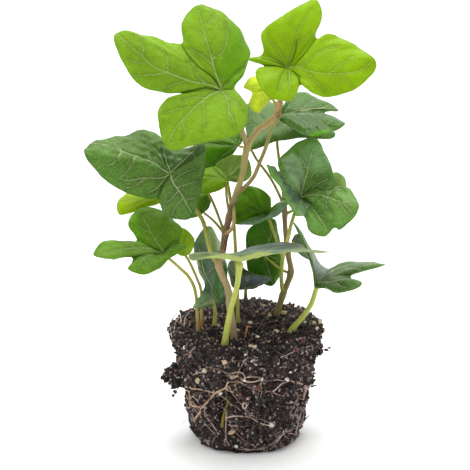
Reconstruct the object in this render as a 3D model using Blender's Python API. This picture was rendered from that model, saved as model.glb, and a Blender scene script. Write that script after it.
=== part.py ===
"""Young English ivy with its bare root ball: lobed leaves on stalks, woody stems, soil and roots.

Blender 4.5, +Z up. Every size and place below is in millimetres and becomes metres in metres().
The origin is the middle of the root ball's flat base, and the side that faces the viewer is -Y.
"""

import math
import random
from dataclasses import dataclass

import bmesh
import bpy
from mathutils import Matrix, Vector, noise

MILLIMETRE = 0.001

# Fits
GAP = 0.3

# Root ball: radius at each height, from the base to the rim
BALL_HEIGHT = 61.0
BALL_PROFILE = (
    (25.8, 0.0),
    (27.6, 4.0),
    (29.3, 13.0),
    (30.7, 22.0),
    (32.0, 31.0),
    (33.3, 39.0),
    (35.1, 46.0),
    (37.2, 52.0),
    (38.2, 56.5),
    (36.0, 60.0),
)
BALL_SIDE_RINGS = 15
BALL_TOP_RINGS = (32.5, 28.0, 22.5, 16.5, 10.0)
BALL_SEGMENTS = 42
BALL_DOME = 1.0
BALL_TOP_TILT = 0.04
BALL_LUMP_HEIGHT = 2.4
BALL_LUMP_SIZE = 7.0
BALL_TOP_LUMP_HEIGHT = 2.6
BALL_RIM_WAVE = 2.4
BALL_RIM_WAVE_SIZE = 16.0

# Bark and peat crumbs fused to the root ball: one in so many lies on its top, the rest on its side
CRUMB_SEED = 11
CRUMB_COUNT = 46
CRUMB_TOP_EVERY = 3
CRUMB_SMALLEST = 1.2
CRUMB_LARGEST = 3.2
CRUMB_SINK = 0.2
CRUMB_HEIGHTS = (5.0, 59.0)
CRUMB_TOP_RADII = (5.0, 34.0)
CRUMB_WIDTHS = (0.6, 0.9)
CRUMB_DEPTHS = (0.5, 0.8)

# Clods that stick out of the root ball's side: angle, height, size and how far each stands out
CLOD_PLACES = (
    (-84.0, 34.0, 5.2, 3.6),
    (-93.0, 28.0, 3.8, 2.4),
    (86.0, 46.0, 2.6, 2.2),
    (172.0, 34.0, 4.0, 1.0),
)

# Leaves, stalks, stems and roots
BLADE_THICKNESS = 0.8
BLADE_RINGS = (0.42, 0.74, 1.0)
EDGE_STEPS = 2
STALK_SIDES = 6
STEM_SIDES = 8
ROOT_SIDES = 5
ROOTING_DEPTH = 11.0
STALK_FLARE = 1.2
ROOT_TAPER = 0.75
ROOT_STEP = 4.0
PATH_STEP = 6.0
SHARP_EDGE = 40.0

# Front view that the leaves are laid out in: its tilt in degrees, its distance and its middle
VIEW_TILT = 18.0
VIEW_DISTANCE = 1100.0
VIEW_MIDDLE = (-6.0, 0.0, 107.5)
EDGE_DEPTH_LIMIT = 8.0


@dataclass(frozen=True)
class Leaf:
    """One leaf. Its joint of stalk and blade, and its blade's edge, are laid out in the front view: how far
    across and up they are from the view's middle, and how far back. The edge goes by way of the tips of
    the lobes and the notches between them, clockwise as the upper face is seen, and a point with no depth
    lies in the plane of its neighbours and the joint. The stalk runs down from the joint in real places,
    and at the blade it is as many times thicker as its neck says."""

    colour: str
    joint: tuple
    edge: tuple
    stalk: tuple
    held_by: str
    stalk_radius: float = 0.8
    neck: float = 1.0
    arch: float = 0.05


@dataclass(frozen=True)
class Stem:
    """One woody stem: its branches, each a path of points, and its radius at the foot and at the tip."""

    branches: tuple
    foot_radius: float
    tip_radius: float


@dataclass(frozen=True)
class RootWeb:
    """Roots that hold together: strands of (angle round the ball, height), the angle from the front."""

    strands: tuple
    radius: float


STEMS = {
    "stem_main": Stem(
        branches=(
            (
                (-6.5, -19, 60.5), (-8.5, -19, 76), (-9.5, -17, 85), (-14, -14, 96), (-12, -12, 103),
                (-11, -10, 110), (-9.5, -9, 117), (-7.5, -8, 125), (-4.5, -8, 134), (-2, -7, 142.5),
                (0, -6, 155),
            ),
            (
                (-2, -7, 142.5), (0, -6, 154.5), (5, -4, 162.5), (10.5, -2, 166), (14.5, 0, 170),
                (16, -1, 176.5),
            ),
        ),
        foot_radius=1.9,
        tip_radius=1.4,
    ),
    "stem_right": Stem(
        branches=(
            (
                (15, 8, 60.5), (18.3, 9, 72.5), (22.3, 10, 84), (21, 10, 93.5), (19.5, 10, 105.5),
                (19, 9, 115.5), (18.5, 9, 123.5),
            ),
        ),
        foot_radius=1.7,
        tip_radius=1.1,
    ),
}

LEAVES = {
    "leaf_crown_left": Leaf(
        colour="leaf_bright",
        joint=(-6.5, 72.5, -14),
        edge=(
            (-51, 78), (-60.2, 96, -18), (-57, 102), (-41, 99), (-27, 95.5), (-26.8, 105),
            (-22.5, 112.5), (-16, 115, 4), (-8, 112), (0.2, 105.5), (7.3, 92, 4), (4.2, 80), (-0.3, 73),
            (6, 65), (3, 51.5, -30), (-17.5, 45.8), (-33.5, 43, -34), (-38.7, 60), (-34.5, 67.5),
            (-27, 71), (-40, 71.8),
        ),
        stalk=((-6.5, -7, 173), (-2.5, -8, 163.5), (0, -6, 154.5)),
        held_by="stem_main",
        stalk_radius=1.1,
    ),
    "leaf_crown_right": Leaf(
        colour="leaf_young",
        joint=(26.35, 83, -8),
        edge=(
            (6.5, 87.8, -14), (14, 91), (13.5, 101.5), (24.5, 110.3), (35, 116.2), (40.5, 117.5, 8),
            (43.7, 110.5), (40.5, 98.8), (50, 100), (70.5, 86.5, -14), (61, 73.5), (46.5, 69, -20),
            (38.5, 71), (33, 75), (29.5, 68.5), (23, 66.8, -26), (14, 72), (10.3, 81.5), (14.5, 84.6),
        ),
        stalk=((18, -4, 185), (16, -1, 176.5)),
        held_by="stem_main",
    ),
    "leaf_crown_young": Leaf(
        colour="leaf_young",
        joint=(15.5, 72.5, -2),
        edge=(
            (4.5, 74, -6), (7.5, 78.5), (13.5, 79.5, 3), (19.5, 73.5, 3), (16.5, 66), (11, 61, -10),
            (7, 65.5), (8.5, 71),
        ),
        stalk=((12, -1, 178.5), (15, -1, 173.5)),
        held_by="stem_main",
        stalk_radius=0.6,
    ),
    "leaf_left_upper": Leaf(
        colour="leaf_dark",
        joint=(-32, 30, -20),
        edge=(
            (-75.5, 41, -26), (-68.5, 47.5), (-56.5, 49.5, -8), (-42.5, 52.5, 0), (-30, 42.5),
            (-15.5, 45.5, -6), (-16.5, 25), (-21.5, 9, -26), (-34, 9.2), (-39, 18.5), (-42.5, 18, -26),
            (-54, 21), (-65.5, 28),
        ),
        stalk=((-31, -14, 132.5), (-24, -12, 122.5), (-21, -12, 116), (-18, -13, 103), (-14, -14, 96)),
        held_by="stem_main",
        stalk_radius=1.0,
    ),
    "leaf_left_young": Leaf(
        colour="leaf_young",
        joint=(-38.5, 19.5, -4),
        edge=(
            (-57.5, 10.2, -10), (-58.4, 17), (-51.5, 22.5, 2), (-39, 24.5, 3), (-36, 17.5, -2),
            (-46.5, 13, -8),
        ),
        stalk=((-33, 2, 133.5), (-24, 2, 133), (-18, -2, 127.5), (-11, -10, 111.5)),
        held_by="stem_main",
        stalk_radius=0.6,
    ),
    "leaf_left_lower": Leaf(
        colour="leaf_dark",
        joint=(-36.5, -9.5, -24),
        edge=(
            (-70.8, -9.5, -36), (-65, -3.2), (-49.5, -2.8), (-53.6, 5.2), (-49.5, 12.2, -12),
            (-40, 13.7, -8), (-27.5, 4.8), (-27.5, -3.5), (-24, -6, -16), (-31.5, -11), (-38, -16.8),
            (-44.5, -19.5, -42), (-53.5, -17.5, -40), (-51.5, -11.3), (-64.5, -12),
        ),
        stalk=(
            (-37.5, -23, 102), (-33, -21, 97), (-28.5, -17, 90.5), (-25.5, -12, 80), (-24.5, -10.5, 60.5),
        ),
        held_by="soil",
    ),
    "leaf_left_back": Leaf(
        colour="leaf_young",
        joint=(-25.25, -9.5, -8),
        edge=(
            (-32.5, -4.5, 0), (-30.5, 3), (-25.5, 3.5, -2), (-20.5, -1.5, -8), (-20.5, -5.5),
            (-23.5, -10), (-28, -9.8),
        ),
        stalk=((-28.5, -8, 95.5), (-24.8, -7.5, 86.5), (-23, -4, 78.5), (-22.7, -3.5, 60.5)),
        held_by="soil",
        stalk_radius=0.7,
    ),
    "leaf_left_small": Leaf(
        colour="leaf_dark",
        joint=(-16, 11.5, -2),
        edge=((-21.5, 8.5, -6), (-24, 15, 0), (-18, 20, 2), (-12.5, 19.5, 3), (-13, 13.5)),
        stalk=((-16, -4, 115.5), (-11, -9, 110.5)),
        held_by="stem_main",
        stalk_radius=0.6,
    ),
    "leaf_left_curled": Leaf(
        colour="leaf_dark",
        joint=(-11.5, -32, -4),
        edge=(
            (-20.5, -36.5, -21), (-15.3, -26, -3), (-18.5, -16.5, -2), (-20.5, -4.5, -2), (-13, 4.5, 6),
            (-6.5, -5.5, 12), (-4, -18.5, 14), (-4.5, -32.5, 10),
        ),
        stalk=((-16, -5, 68), (-16.5, -6, 60.5)),
        held_by="soil",
        stalk_radius=0.9,
    ),
    "leaf_middle_dark": Leaf(
        colour="leaf_dark",
        joint=(1.5, 44.5, 14),
        edge=(
            (-6.5, 37, 13), (-15, 33, 10), (-17.5, 42.5, 12), (-12.5, 51.5, 22), (-2.5, 53.5, 26),
            (4, 48.5, 23),
        ),
        stalk=((1.5, 10.5, 149), (5, 6.5, 144.5), (11.5, 6.5, 135.5), (16, 7.5, 126.5), (19, 9, 118.5)),
        held_by="stem_right",
        stalk_radius=0.6,
    ),
    "leaf_middle_olive": Leaf(
        colour="leaf_olive",
        joint=(-4, 27.5, 2),
        edge=((5.5, 27.5, -4), (8, 33.5, 1), (6, 39, 5), (-1.5, 40, 8), (-9, 36, 6), (-8, 31.5, 3)),
        stalk=((-8.5, 5, 125.5), (-6.5, 6, 110.5), (-5, 2, 82.5), (-4.5, -3, 60.5)),
        held_by="soil",
    ),
    "leaf_middle_light": Leaf(
        colour="leaf_bright",
        joint=(-4.75, 27.5, -4),
        edge=(
            (-6.5, 23, -6), (-14, 20.5, -8), (-18.5, 21.5), (-19.5, 28.5, 0), (-16.5, 33, 4),
            (-10, 33.5, 4), (-3.2, 28, -3),
        ),
        stalk=((-10, -5, 127.5), (-8.5, -8, 119.5)),
        held_by="stem_main",
        stalk_radius=0.6,
    ),
    "leaf_centre_round": Leaf(
        colour="leaf_dark",
        joint=(16.5, 9, 6),
        edge=(
            (0.5, 5.5, -4), (-0.5, 15), (4, 23, 10), (10, 24.3, 14), (17.6, 19, 12), (18.3, 13.3, 8),
            (21.5, 15.5, 0), (27, 17.5, -12), (24, 12, -12), (13.5, 6.5, -8),
        ),
        stalk=((15, 7, 102.5), (18.2, 4, 93.5)),
        held_by="leaf_right_large",
        stalk_radius=0.7,
    ),
    "leaf_centre_lower": Leaf(
        colour="leaf_dark",
        joint=(14, -9.5, 18),
        edge=(
            (6.5, -17.5, 17), (5.5, -6.5), (6, 1.5, 17), (12, 7, 20), (20, 7.5, 24), (22.5, -4.5, 22),
            (23.5, -17.5, 19), (19, -25, 18), (11.5, -23),
        ),
        stalk=((15, 16, 85.5), (22.3, 10, 83.5)),
        held_by="stem_right",
        stalk_radius=0.6,
    ),
    "leaf_front_level": Leaf(
        colour="leaf_olive",
        joint=(2.5, -13.2, -32),
        edge=(
            (-21.3, -12.8, -44), (-22.3, -9.4, -40), (-12, -9.6, -30), (-1.5, -9.8, -16), (5.5, -7.3, -8),
            (14, -5.3), (26.5, -3.9, -10), (33.5, -5.3, -20), (37.5, -7.6), (48, -8.8, -36),
            (33.5, -8.6, -48), (17, -8.5, -56), (9.5, -8.7, -58), (1.5, -9.9, -56), (-10, -10.2, -52),
        ),
        stalk=((-5, -31, 91.5), (-8.5, -28, 76), (-11, -27, 60)),
        held_by="soil",
        stalk_radius=1.3,
        neck=1.8,
    ),
    "leaf_right_upper": Leaf(
        colour="leaf_dark",
        joint=(23, 59.5, 4),
        edge=(
            (26, 67.5, 14), (32.5, 71.5, 24), (42.5, 68), (52, 62.5, 16), (45, 61), (55, 56, -6),
            (49, 52), (37.5, 49.5, -18), (28.5, 53.5, -6), (21.7, 59, 2),
        ),
        stalk=((12, 4, 161.5), (9.5, 1, 153.5), (6.5, -3, 147), (3, -5, 139), (-3.5, -8, 132.5)),
        held_by="stem_main",
        stalk_radius=0.9,
    ),
    "leaf_right_folded": Leaf(
        colour="leaf_dark",
        joint=(20.5, 53.5, 14),
        edge=(
            (20, 46.5, 6), (8, 42.5, 2), (6, 48.5), (5, 63.5, 34), (10.5, 66, 38), (20, 65.5, 40),
            (32.5, 56.5, 32), (49, 52, 16), (47.5, 48, 10), (33.5, 48.5, 8),
        ),
        stalk=((15.5, 11, 147.5), (17.5, 9, 134.5), (18.5, 9, 123.5)),
        held_by="stem_right",
        stalk_radius=0.7,
    ),
    "leaf_right_large": Leaf(
        colour="leaf_dark",
        joint=(32.4, 18.5, -10),
        edge=(
            (34.5, 9.5, -28), (29.5, 10.5, -30), (23.5, 21.5, -28), (15.5, 35, -26), (26.5, 24.9, -14),
            (21.4, 35.5, -6), (24.3, 40.5), (33.5, 47.5, 4), (41.8, 47, 6), (50, 28.5, -4), (48, 24),
            (56, 24, -8), (62, 13.5, -22), (53.5, 3), (49.5, 3.5), (44.5, -1, -26), (36.5, 3, -28),
        ),
        stalk=((22.5, -2, 115.5), (20.5, 2, 105), (18.2, 4, 94.5), (17.5, 6, 82.5), (18.5, 9, 72.5)),
        held_by="stem_right",
        stalk_radius=0.9,
    ),
    "leaf_right_young": Leaf(
        colour="leaf_young",
        joint=(45.5, 23.5, 3),
        edge=((44.5, 28, 7), (50, 31.5, 9), (54.7, 28.5, 7), (55.5, 23.5, 1), (50, 20.5), (44, 20, 0)),
        stalk=((30, 5, 122.5), (19, 9, 115.5)),
        held_by="stem_right",
        stalk_radius=0.6,
    ),
    "leaf_right_small": Leaf(
        colour="leaf_dark",
        joint=(30, -2.6, 12.5),
        edge=((31, 0.6, 11), (36, -5.2, 10), (38.5, -12.5, 8), (33.5, -10.5, 11), (28.3, -4.5, 13)),
        stalk=((21, 10, 96.5),),
        held_by="stem_right",
        stalk_radius=0.6,
    ),
    "leaf_right_lower": Leaf(
        colour="leaf_dark",
        joint=(41.2, -24.5, -12),
        edge=(
            (38, -15, -10), (29, 7, 2), (39, -8.5, 4), (46.3, -17, 4), (55, -13.5), (75, -14.7, -12),
            (58.2, -20.4), (63.5, -24, -26), (59.5, -27.2), (51.5, -29, -26),
            (44.5, -26.6, -16), (39.8, -25.8, -13),
        ),
        stalk=((34, -12, 81.5), (32, -12, 75), (28, -12, 68.5), (22, -12, 60.5)),
        held_by="soil",
        stalk_radius=1.2,
    ),
    "leaf_back_low": Leaf(
        colour="leaf_dark",
        joint=(5.5, -26, 16),
        edge=(
            (-3.2, -20, 20), (-3, -13.5, 19), (1.5, -13, 14), (5.5, -17.5), (10, -19.5, 7), (18.7, -21.6, 3),
            (14, -24.2, 8.5), (8.5, -26.8), (-0.5, -26.5, 18),
        ),
        stalk=((-0.5, 22, 70.5), (-0.5, 30, 66), (-0.5, 32, 60.5)),
        held_by="soil",
    ),
}

ROOT_WEBS = {
    "roots_front_left": RootWeb(
        strands=(
            ((-68, 10.5), (-46, 22.5), (-29, 34), (-19, 38), (-15, 42.5), (-8, 45.5), (-2, 43), (13, 43)),
            ((-70, 28), (-62, 22), (-46, 22.5), (-30, 10)),
            ((-78, 29), (-50, 33), (-29, 34)),
            ((-19, 38), (-8, 34)),
        ),
        radius=0.75,
    ),
    "roots_front_low": RootWeb(
        strands=(
            ((-19, 24), (-21, 17), (-20, 7), (-10, 3), (6, 2.5), (20, 3)),
            ((-20, 21), (-7, 23.5), (11, 19), (24, 16)),
        ),
        radius=0.7,
    ),
    "roots_right": RootWeb(
        strands=(
            ((23, 35), (35, 40), (52, 36), (67, 31), (62, 25), (59, 13), (50, 9), (39, 10), (26, 4.5)),
            ((67, 31), (84, 22), (92, 9)),
        ),
        radius=0.7,
    ),
    "roots_back": RootWeb(
        strands=(
            ((112, 12), (130, 24), (148, 29), (168, 40), (186, 37), (206, 44), (228, 41)),
            ((148, 29), (160, 18), (178, 11), (196, 5)),
            ((186, 37), (200, 26), (222, 20), (244, 8)),
            ((206, 44), (214, 30), (222, 20)),
        ),
        radius=0.75,
    ),
}

MATERIALS = {
    "leaf_bright": ((0.19, 0.40, 0.03), 0.42),
    "leaf_young": ((0.30, 0.50, 0.02), 0.45),
    "leaf_dark": ((0.05, 0.16, 0.035), 0.38),
    "leaf_olive": ((0.30, 0.42, 0.14), 0.50),
    "stem_bark": ((0.36, 0.25, 0.17), 0.65),
    "soil_peat": ((0.03, 0.02, 0.014), 0.95),
    "root_tan": ((0.52, 0.37, 0.22), 0.75),
}


def metres(point):
    """A place or a length in millimetres, in metres."""
    return Vector(point) * MILLIMETRE


def clear_scene():
    """Takes every object out of the file."""
    for obj in list(bpy.data.objects):
        bpy.data.objects.remove(obj, do_unlink=True)


def make_materials():
    """One material for each colour of the plant."""
    made = {}
    for name, (colour, roughness) in MATERIALS.items():
        material = bpy.data.materials.new(name)
        material.use_nodes = True
        surface = material.node_tree.nodes["Principled BSDF"]
        surface.inputs["Base Color"].default_value = (*colour, 1.0)
        surface.inputs["Roughness"].default_value = roughness
        surface.inputs["Metallic"].default_value = 0.0
        made[name] = material
    return made


def object_from(name, mesh_data):
    """A scene object round a bmesh, which is freed."""
    mesh = bpy.data.meshes.new(name)
    bmesh.ops.recalc_face_normals(mesh_data, faces=mesh_data.faces)
    mesh_data.to_mesh(mesh)
    mesh_data.free()
    obj = bpy.data.objects.new(name, mesh)
    bpy.context.scene.collection.objects.link(obj)
    return obj


def apply_modifiers(obj):
    """Makes the object's evaluated mesh its own and drops the modifiers."""
    graph = bpy.context.evaluated_depsgraph_get()
    mesh = bpy.data.meshes.new_from_object(obj.evaluated_get(graph))
    obj.modifiers.clear()
    obj.data = mesh


def finish(obj, material):
    """Cuts every face into triangles, shades the object smooth up to its sharp edges and dresses it."""
    data = bmesh.new()
    data.from_mesh(obj.data)
    bmesh.ops.triangulate(data, faces=data.faces)
    data.to_mesh(obj.data)
    data.free()
    obj.data.materials.append(material)
    obj.data.shade_smooth()
    obj.data.set_sharp_from_angle(angle=math.radians(SHARP_EDGE))


def combine(obj, others, operation, solver="EXACT"):
    """One Boolean of an object with a collection of others, applied, after which the others go."""
    group = bpy.data.collections.new(obj.name + "_others")
    bpy.context.scene.collection.children.link(group)
    for other in others:
        bpy.context.scene.collection.objects.unlink(other)
        group.objects.link(other)
    modifier = obj.modifiers.new("Combine", "BOOLEAN")
    modifier.operation = operation
    modifier.solver = solver
    modifier.operand_type = "COLLECTION"
    modifier.collection = group
    apply_modifiers(obj)
    for other in others:
        bpy.data.objects.remove(other, do_unlink=True)
    bpy.data.collections.remove(group)


def smooth_path(points, step):
    """Points about a step apart on a smooth curve through the points given."""
    ends = [Vector(p) for p in points]
    before = [2 * ends[0] - ends[1], *ends[:-1]]
    after = [*ends[1:], 2 * ends[-1] - ends[-2]]
    path = []
    for index in range(len(ends) - 1):
        start, end = ends[index], ends[index + 1]
        leaving = (end - before[index]) / 2
        arriving = (after[index + 1] - start) / 2
        count = max(1, round((end - start).length / step))
        for number in range(count):
            t = number / count
            path.append(
                start * (2 * t**3 - 3 * t**2 + 1)
                + leaving * (t**3 - 2 * t**2 + t)
                + end * (3 * t**2 - 2 * t**3)
                + arriving * (t**3 - t**2)
            )
    path.append(ends[-1])
    return path


def tube(name, path, radii, sides):
    """A closed round bar along a path, its radius given at each point."""
    data = bmesh.new()
    rings = []
    direction = (path[1] - path[0]).normalized()
    across = direction.orthogonal().normalized()
    for index, point in enumerate(path):
        ahead = path[min(index + 1, len(path) - 1)] - path[max(index - 1, 0)]
        turn = direction.rotation_difference(ahead.normalized())
        direction = ahead.normalized()
        across = (turn @ across).normalized()
        ring = []
        for side in range(sides):
            spoke = Matrix.Rotation(2 * math.pi * side / sides, 3, direction) @ across
            ring.append(data.verts.new(metres(point + spoke * radii[index])))
        rings.append(ring)
    for ring, following in zip(rings, rings[1:]):
        for side in range(sides):
            beside = (side + 1) % sides
            data.faces.new((ring[side], ring[beside], following[beside], following[side]))
    data.faces.new(rings[0])
    data.faces.new(rings[-1])
    return object_from(name, data)


def lengthened(path, extra):
    """The path with each end moved outwards."""
    start = path[0] + (path[0] - path[1]).normalized() * extra
    end = path[-1] + (path[-1] - path[-2]).normalized() * extra
    return [start, *path[1:-1], end]


def tapered(count, start, end):
    """Radii from one end's to the other's, one for each point."""
    return [start + (end - start) * index / (count - 1) for index in range(count)]


def with_root_end(points):
    """The path, run on straight down into the soil."""
    x, y, z = points[-1]
    return (*points, (x, y, z - ROOTING_DEPTH))


def ball_profile(height):
    """The root ball's plain radius at a height."""
    for (low_radius, low), (high_radius, high) in zip(BALL_PROFILE, BALL_PROFILE[1:]):
        if height <= high:
            return low_radius + (high_radius - low_radius) * (height - low) / (high - low)
    return BALL_PROFILE[-1][0]


def lump(x, y, z):
    """The soil's unevenness at a place, about -1 to 1."""
    place = Vector((x, y, z)) / BALL_LUMP_SIZE
    return noise.noise(place) + noise.noise(place * 2) / 2


def ball_point(angle, height):
    """A point on the root ball's side, its angle in degrees from the front towards +X."""
    turn = math.radians(angle)
    around = Vector((math.sin(turn), -math.cos(turn), 0)) * BALL_PROFILE[-1][0]
    shift = BALL_RIM_WAVE * noise.noise(around / BALL_RIM_WAVE_SIZE) * height / BALL_HEIGHT
    radius = ball_profile(height + shift)
    across, back = radius * math.sin(turn), -radius * math.cos(turn)
    radius += BALL_LUMP_HEIGHT * lump(across, back, height)
    return Vector((radius * math.sin(turn), -radius * math.cos(turn), height))


def ball_top_point(angle, radius):
    """A point on the uneven top of the root ball."""
    turn = math.radians(angle)
    x, y = radius * math.sin(turn), -radius * math.cos(turn)
    dome = BALL_DOME * (1 - (radius / BALL_PROFILE[-1][0]) ** 2)
    lift = dome + y * BALL_TOP_TILT + BALL_TOP_LUMP_HEIGHT * lump(x, y, BALL_HEIGHT)
    return Vector((x, y, BALL_HEIGHT - BALL_DOME + lift))


def soil_crumb(name, place, size, draw):
    """One angular crumb of bark or peat."""
    data = bmesh.new()
    bmesh.ops.create_icosphere(data, subdivisions=1, radius=1.0)
    turn = Matrix.Rotation(draw.uniform(0, math.tau), 4, Vector((1, draw.uniform(-1, 1), 0.5)))
    width, depth = size * draw.uniform(*CRUMB_WIDTHS), size * draw.uniform(*CRUMB_DEPTHS)
    stretch = Matrix.Diagonal((size, width, depth, 1))
    data.transform(Matrix.Scale(MILLIMETRE, 4) @ Matrix.Translation(place) @ turn @ stretch)
    return object_from(name, data)


def make_crumbs():
    """Crumbs scattered over the side and the top of the root ball, and the few clods that stick out."""
    draw = random.Random(CRUMB_SEED)
    crumbs = []
    for index in range(CRUMB_COUNT):
        size = draw.uniform(CRUMB_SMALLEST, CRUMB_LARGEST)
        angle = draw.uniform(0, 360)
        if index % CRUMB_TOP_EVERY:
            place = ball_point(angle, draw.uniform(*CRUMB_HEIGHTS))
        else:
            place = ball_top_point(angle, draw.uniform(*CRUMB_TOP_RADII))
        outwards = (place - Vector((0, 0, BALL_HEIGHT / 2))).normalized()
        crumbs.append(soil_crumb(f"crumb_{index}", place - outwards * size * CRUMB_SINK, size, draw))
    for index, (angle, height, size, reach) in enumerate(CLOD_PLACES):
        place = ball_point(angle, height)
        outwards = Vector((place.x, place.y, 0)).normalized()
        crumbs.append(soil_crumb(f"clod_{index}", place + outwards * reach, size, draw))
    return crumbs


def make_soil():
    """The lumpy tapered root ball with its flat base."""
    data = bmesh.new()
    rings = []
    angles = [360 * index / BALL_SEGMENTS for index in range(BALL_SEGMENTS)]
    for index in range(BALL_SIDE_RINGS + 1):
        height = BALL_PROFILE[-1][1] * index / BALL_SIDE_RINGS
        rings.append([data.verts.new(metres(ball_point(angle, height))) for angle in angles])
    for radius in BALL_TOP_RINGS:
        rings.append([data.verts.new(metres(ball_top_point(angle, radius))) for angle in angles])
    for ring, following in zip(rings, rings[1:]):
        for index in range(BALL_SEGMENTS):
            beside = (index + 1) % BALL_SEGMENTS
            data.faces.new((ring[index], ring[beside], following[beside], following[index]))
    data.faces.new(rings[0])
    top = data.verts.new(metres(ball_top_point(0, 0)))
    for index in range(BALL_SEGMENTS):
        data.faces.new((rings[-1][index], rings[-1][(index + 1) % BALL_SEGMENTS], top))
    bmesh.ops.triangulate(data, faces=[face for face in data.faces if len(face.verts) == 4])
    soil = object_from("soil_plug", data)
    combine(soil, make_crumbs(), "UNION")
    return soil


def drop_loose_crumbs(soil):
    """Takes away what the roots' grooves have cut off from the root ball."""
    data = bmesh.new()
    data.from_mesh(soil.data)
    unseen = set(data.verts)
    bodies = []
    while unseen:
        body = {unseen.pop()}
        edge_of_body = list(body)
        while edge_of_body:
            vertex = edge_of_body.pop()
            beside = {edge.other_vert(vertex) for edge in vertex.link_edges} - body
            body |= beside
            edge_of_body += beside
        unseen -= body
        bodies.append(body)
    largest = max(bodies, key=len)
    bmesh.ops.delete(data, geom=[vertex for vertex in data.verts if vertex not in largest], context="VERTS")
    data.to_mesh(soil.data)
    data.free()


def root_path(places):
    """A path that follows the uneven side of the root ball through places of angle and height."""
    around = math.radians(1) * BALL_PROFILE[0][0]
    flat = smooth_path([(angle * around, height, 0) for angle, height in places], ROOT_STEP)
    return [ball_point(point.x / around, point.y) for point in flat]


def root_strands(name, web, extra):
    """Each strand of a root web as a bar lying on the root ball's side."""
    strands = []
    for index, places in enumerate(web.strands):
        path = lengthened(root_path(places), extra)
        radii = [radius + extra for radius in tapered(len(path), web.radius, web.radius * ROOT_TAPER)]
        strands.append(tube(f"{name}_{index}", path, radii, ROOT_SIDES))
    return strands


def make_roots(name, web):
    """One web of roots, its strands fused where they cross."""
    main, *branches = root_strands(name, web, 0.0)
    combine(main, branches, "UNION")
    main.name = name
    return main


def stem_bars(name, stem, extra, count=None):
    """The first branches of a stem, or all, as bars, the first of them rooted in the soil."""
    bars = []
    foot_radius = stem.foot_radius
    for index, points in enumerate(stem.branches[:count]):
        run = points if index else (*reversed(with_root_end(tuple(reversed(points)))),)
        path = lengthened(smooth_path(run, PATH_STEP), extra)
        radii = [radius + extra for radius in tapered(len(path), foot_radius, stem.tip_radius)]
        bars.append(tube(f"{name}_{index}", path, radii, STEM_SIDES))
        foot_radius = (stem.foot_radius + stem.tip_radius) / 2
    return bars


def make_stem(name, stem):
    """One woody stem, its branches fused."""
    main, *branches = stem_bars(name, stem, 0.0)
    if branches:
        combine(main, branches, "UNION")
    main.name = name
    return main


def stalk_bar(name, leaf, extra):
    """A leaf's stalk as a bar from the blade to what holds it, in the soil or against a stem."""
    points = (joint_place(leaf), *leaf.stalk)
    if leaf.held_by == "soil":
        points = with_root_end(points)
    path = lengthened(smooth_path(points, PATH_STEP), extra)
    foot_radius = leaf.stalk_radius * STALK_FLARE
    radii = [radius + extra for radius in tapered(len(path), leaf.stalk_radius, foot_radius)]
    radii[0] *= leaf.neck
    return tube(name, path, radii, STALK_SIDES)


def holder_bars(held_by):
    """What a stalk meets, thicker by the gap between the two."""
    if held_by in STEMS:
        return stem_bars("holder", STEMS[held_by], GAP)
    return [stalk_bar("holder", LEAVES[held_by], GAP)]


def view_directions():
    """The front view's eye, and its directions ahead, to the right and up."""
    tilt = math.radians(VIEW_TILT)
    ahead = Vector((0, math.cos(tilt), -math.sin(tilt)))
    upwards = Vector((0, math.sin(tilt), math.cos(tilt)))
    return Vector(VIEW_MIDDLE) - ahead * VIEW_DISTANCE, ahead, Vector((1, 0, 0)), upwards


def sight_line(across, up):
    """The view's eye and the way to a point that is seen so far across and up from the middle."""
    eye, ahead, right, upwards = view_directions()
    return eye, ahead * VIEW_DISTANCE + right * across + upwards * up


def seen(across, up, back):
    """The real place of a point of the front view that lies so far back."""
    eye, ray = sight_line(across, up)
    return eye + ray * (back - eye.y) / ray.y


def joint_place(leaf):
    """Where the leaf's stalk meets its blade."""
    return seen(*leaf.joint)


def edge_places(leaf):
    """The real places of the points of the blade's edge."""
    joint = joint_place(leaf)
    count = len(leaf.edge)
    fixed = {index: seen(*point) for index, point in enumerate(leaf.edge) if len(point) == 3}
    places = []
    for index, point in enumerate(leaf.edge):
        if index in fixed:
            places.append(fixed[index])
            continue
        steps_back = next(step for step in range(1, count) if (index - step) % count in fixed)
        steps_on = next(step for step in range(1, count) if (index + step) % count in fixed)
        before = fixed[(index - steps_back) % count]
        after = fixed[(index + steps_on) % count]
        middle = before.y + (after.y - before.y) * steps_back / (steps_back + steps_on)
        eye, ray = sight_line(*point)
        normal = (before - joint).cross(after - joint)
        back = eye.y + ray.y * normal.dot(joint - eye) / normal.dot(ray)
        back = min(max(back, middle - EDGE_DEPTH_LIMIT), middle + EDGE_DEPTH_LIMIT)
        places.append(seen(*point, back))
    return places


def blade_normal(joint, edge):
    """The blade's mean direction, out of its upper face."""
    arms = [point - joint for point in edge]
    normal = Vector((0, 0, 0))
    for arm, following in zip(arms, arms[1:]):
        normal -= arm.cross(following)
    return normal.normalized()


def blade_outline(points):
    """The blade's edge as a smooth loop through its points."""
    count = len(points)
    outline = []
    for index in range(count):
        before, start, end, after = (points[(index + step) % count] for step in (-1, 0, 1, 2))
        for number in range(EDGE_STEPS):
            t = number / EDGE_STEPS
            outline.append(
                start
                + (end - before) * t / 2
                + (2 * before - 5 * start + 4 * end - after) * t**2 / 2
                + (3 * start - before - 3 * end + after) * t**3 / 2
            )
    return outline


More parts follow.
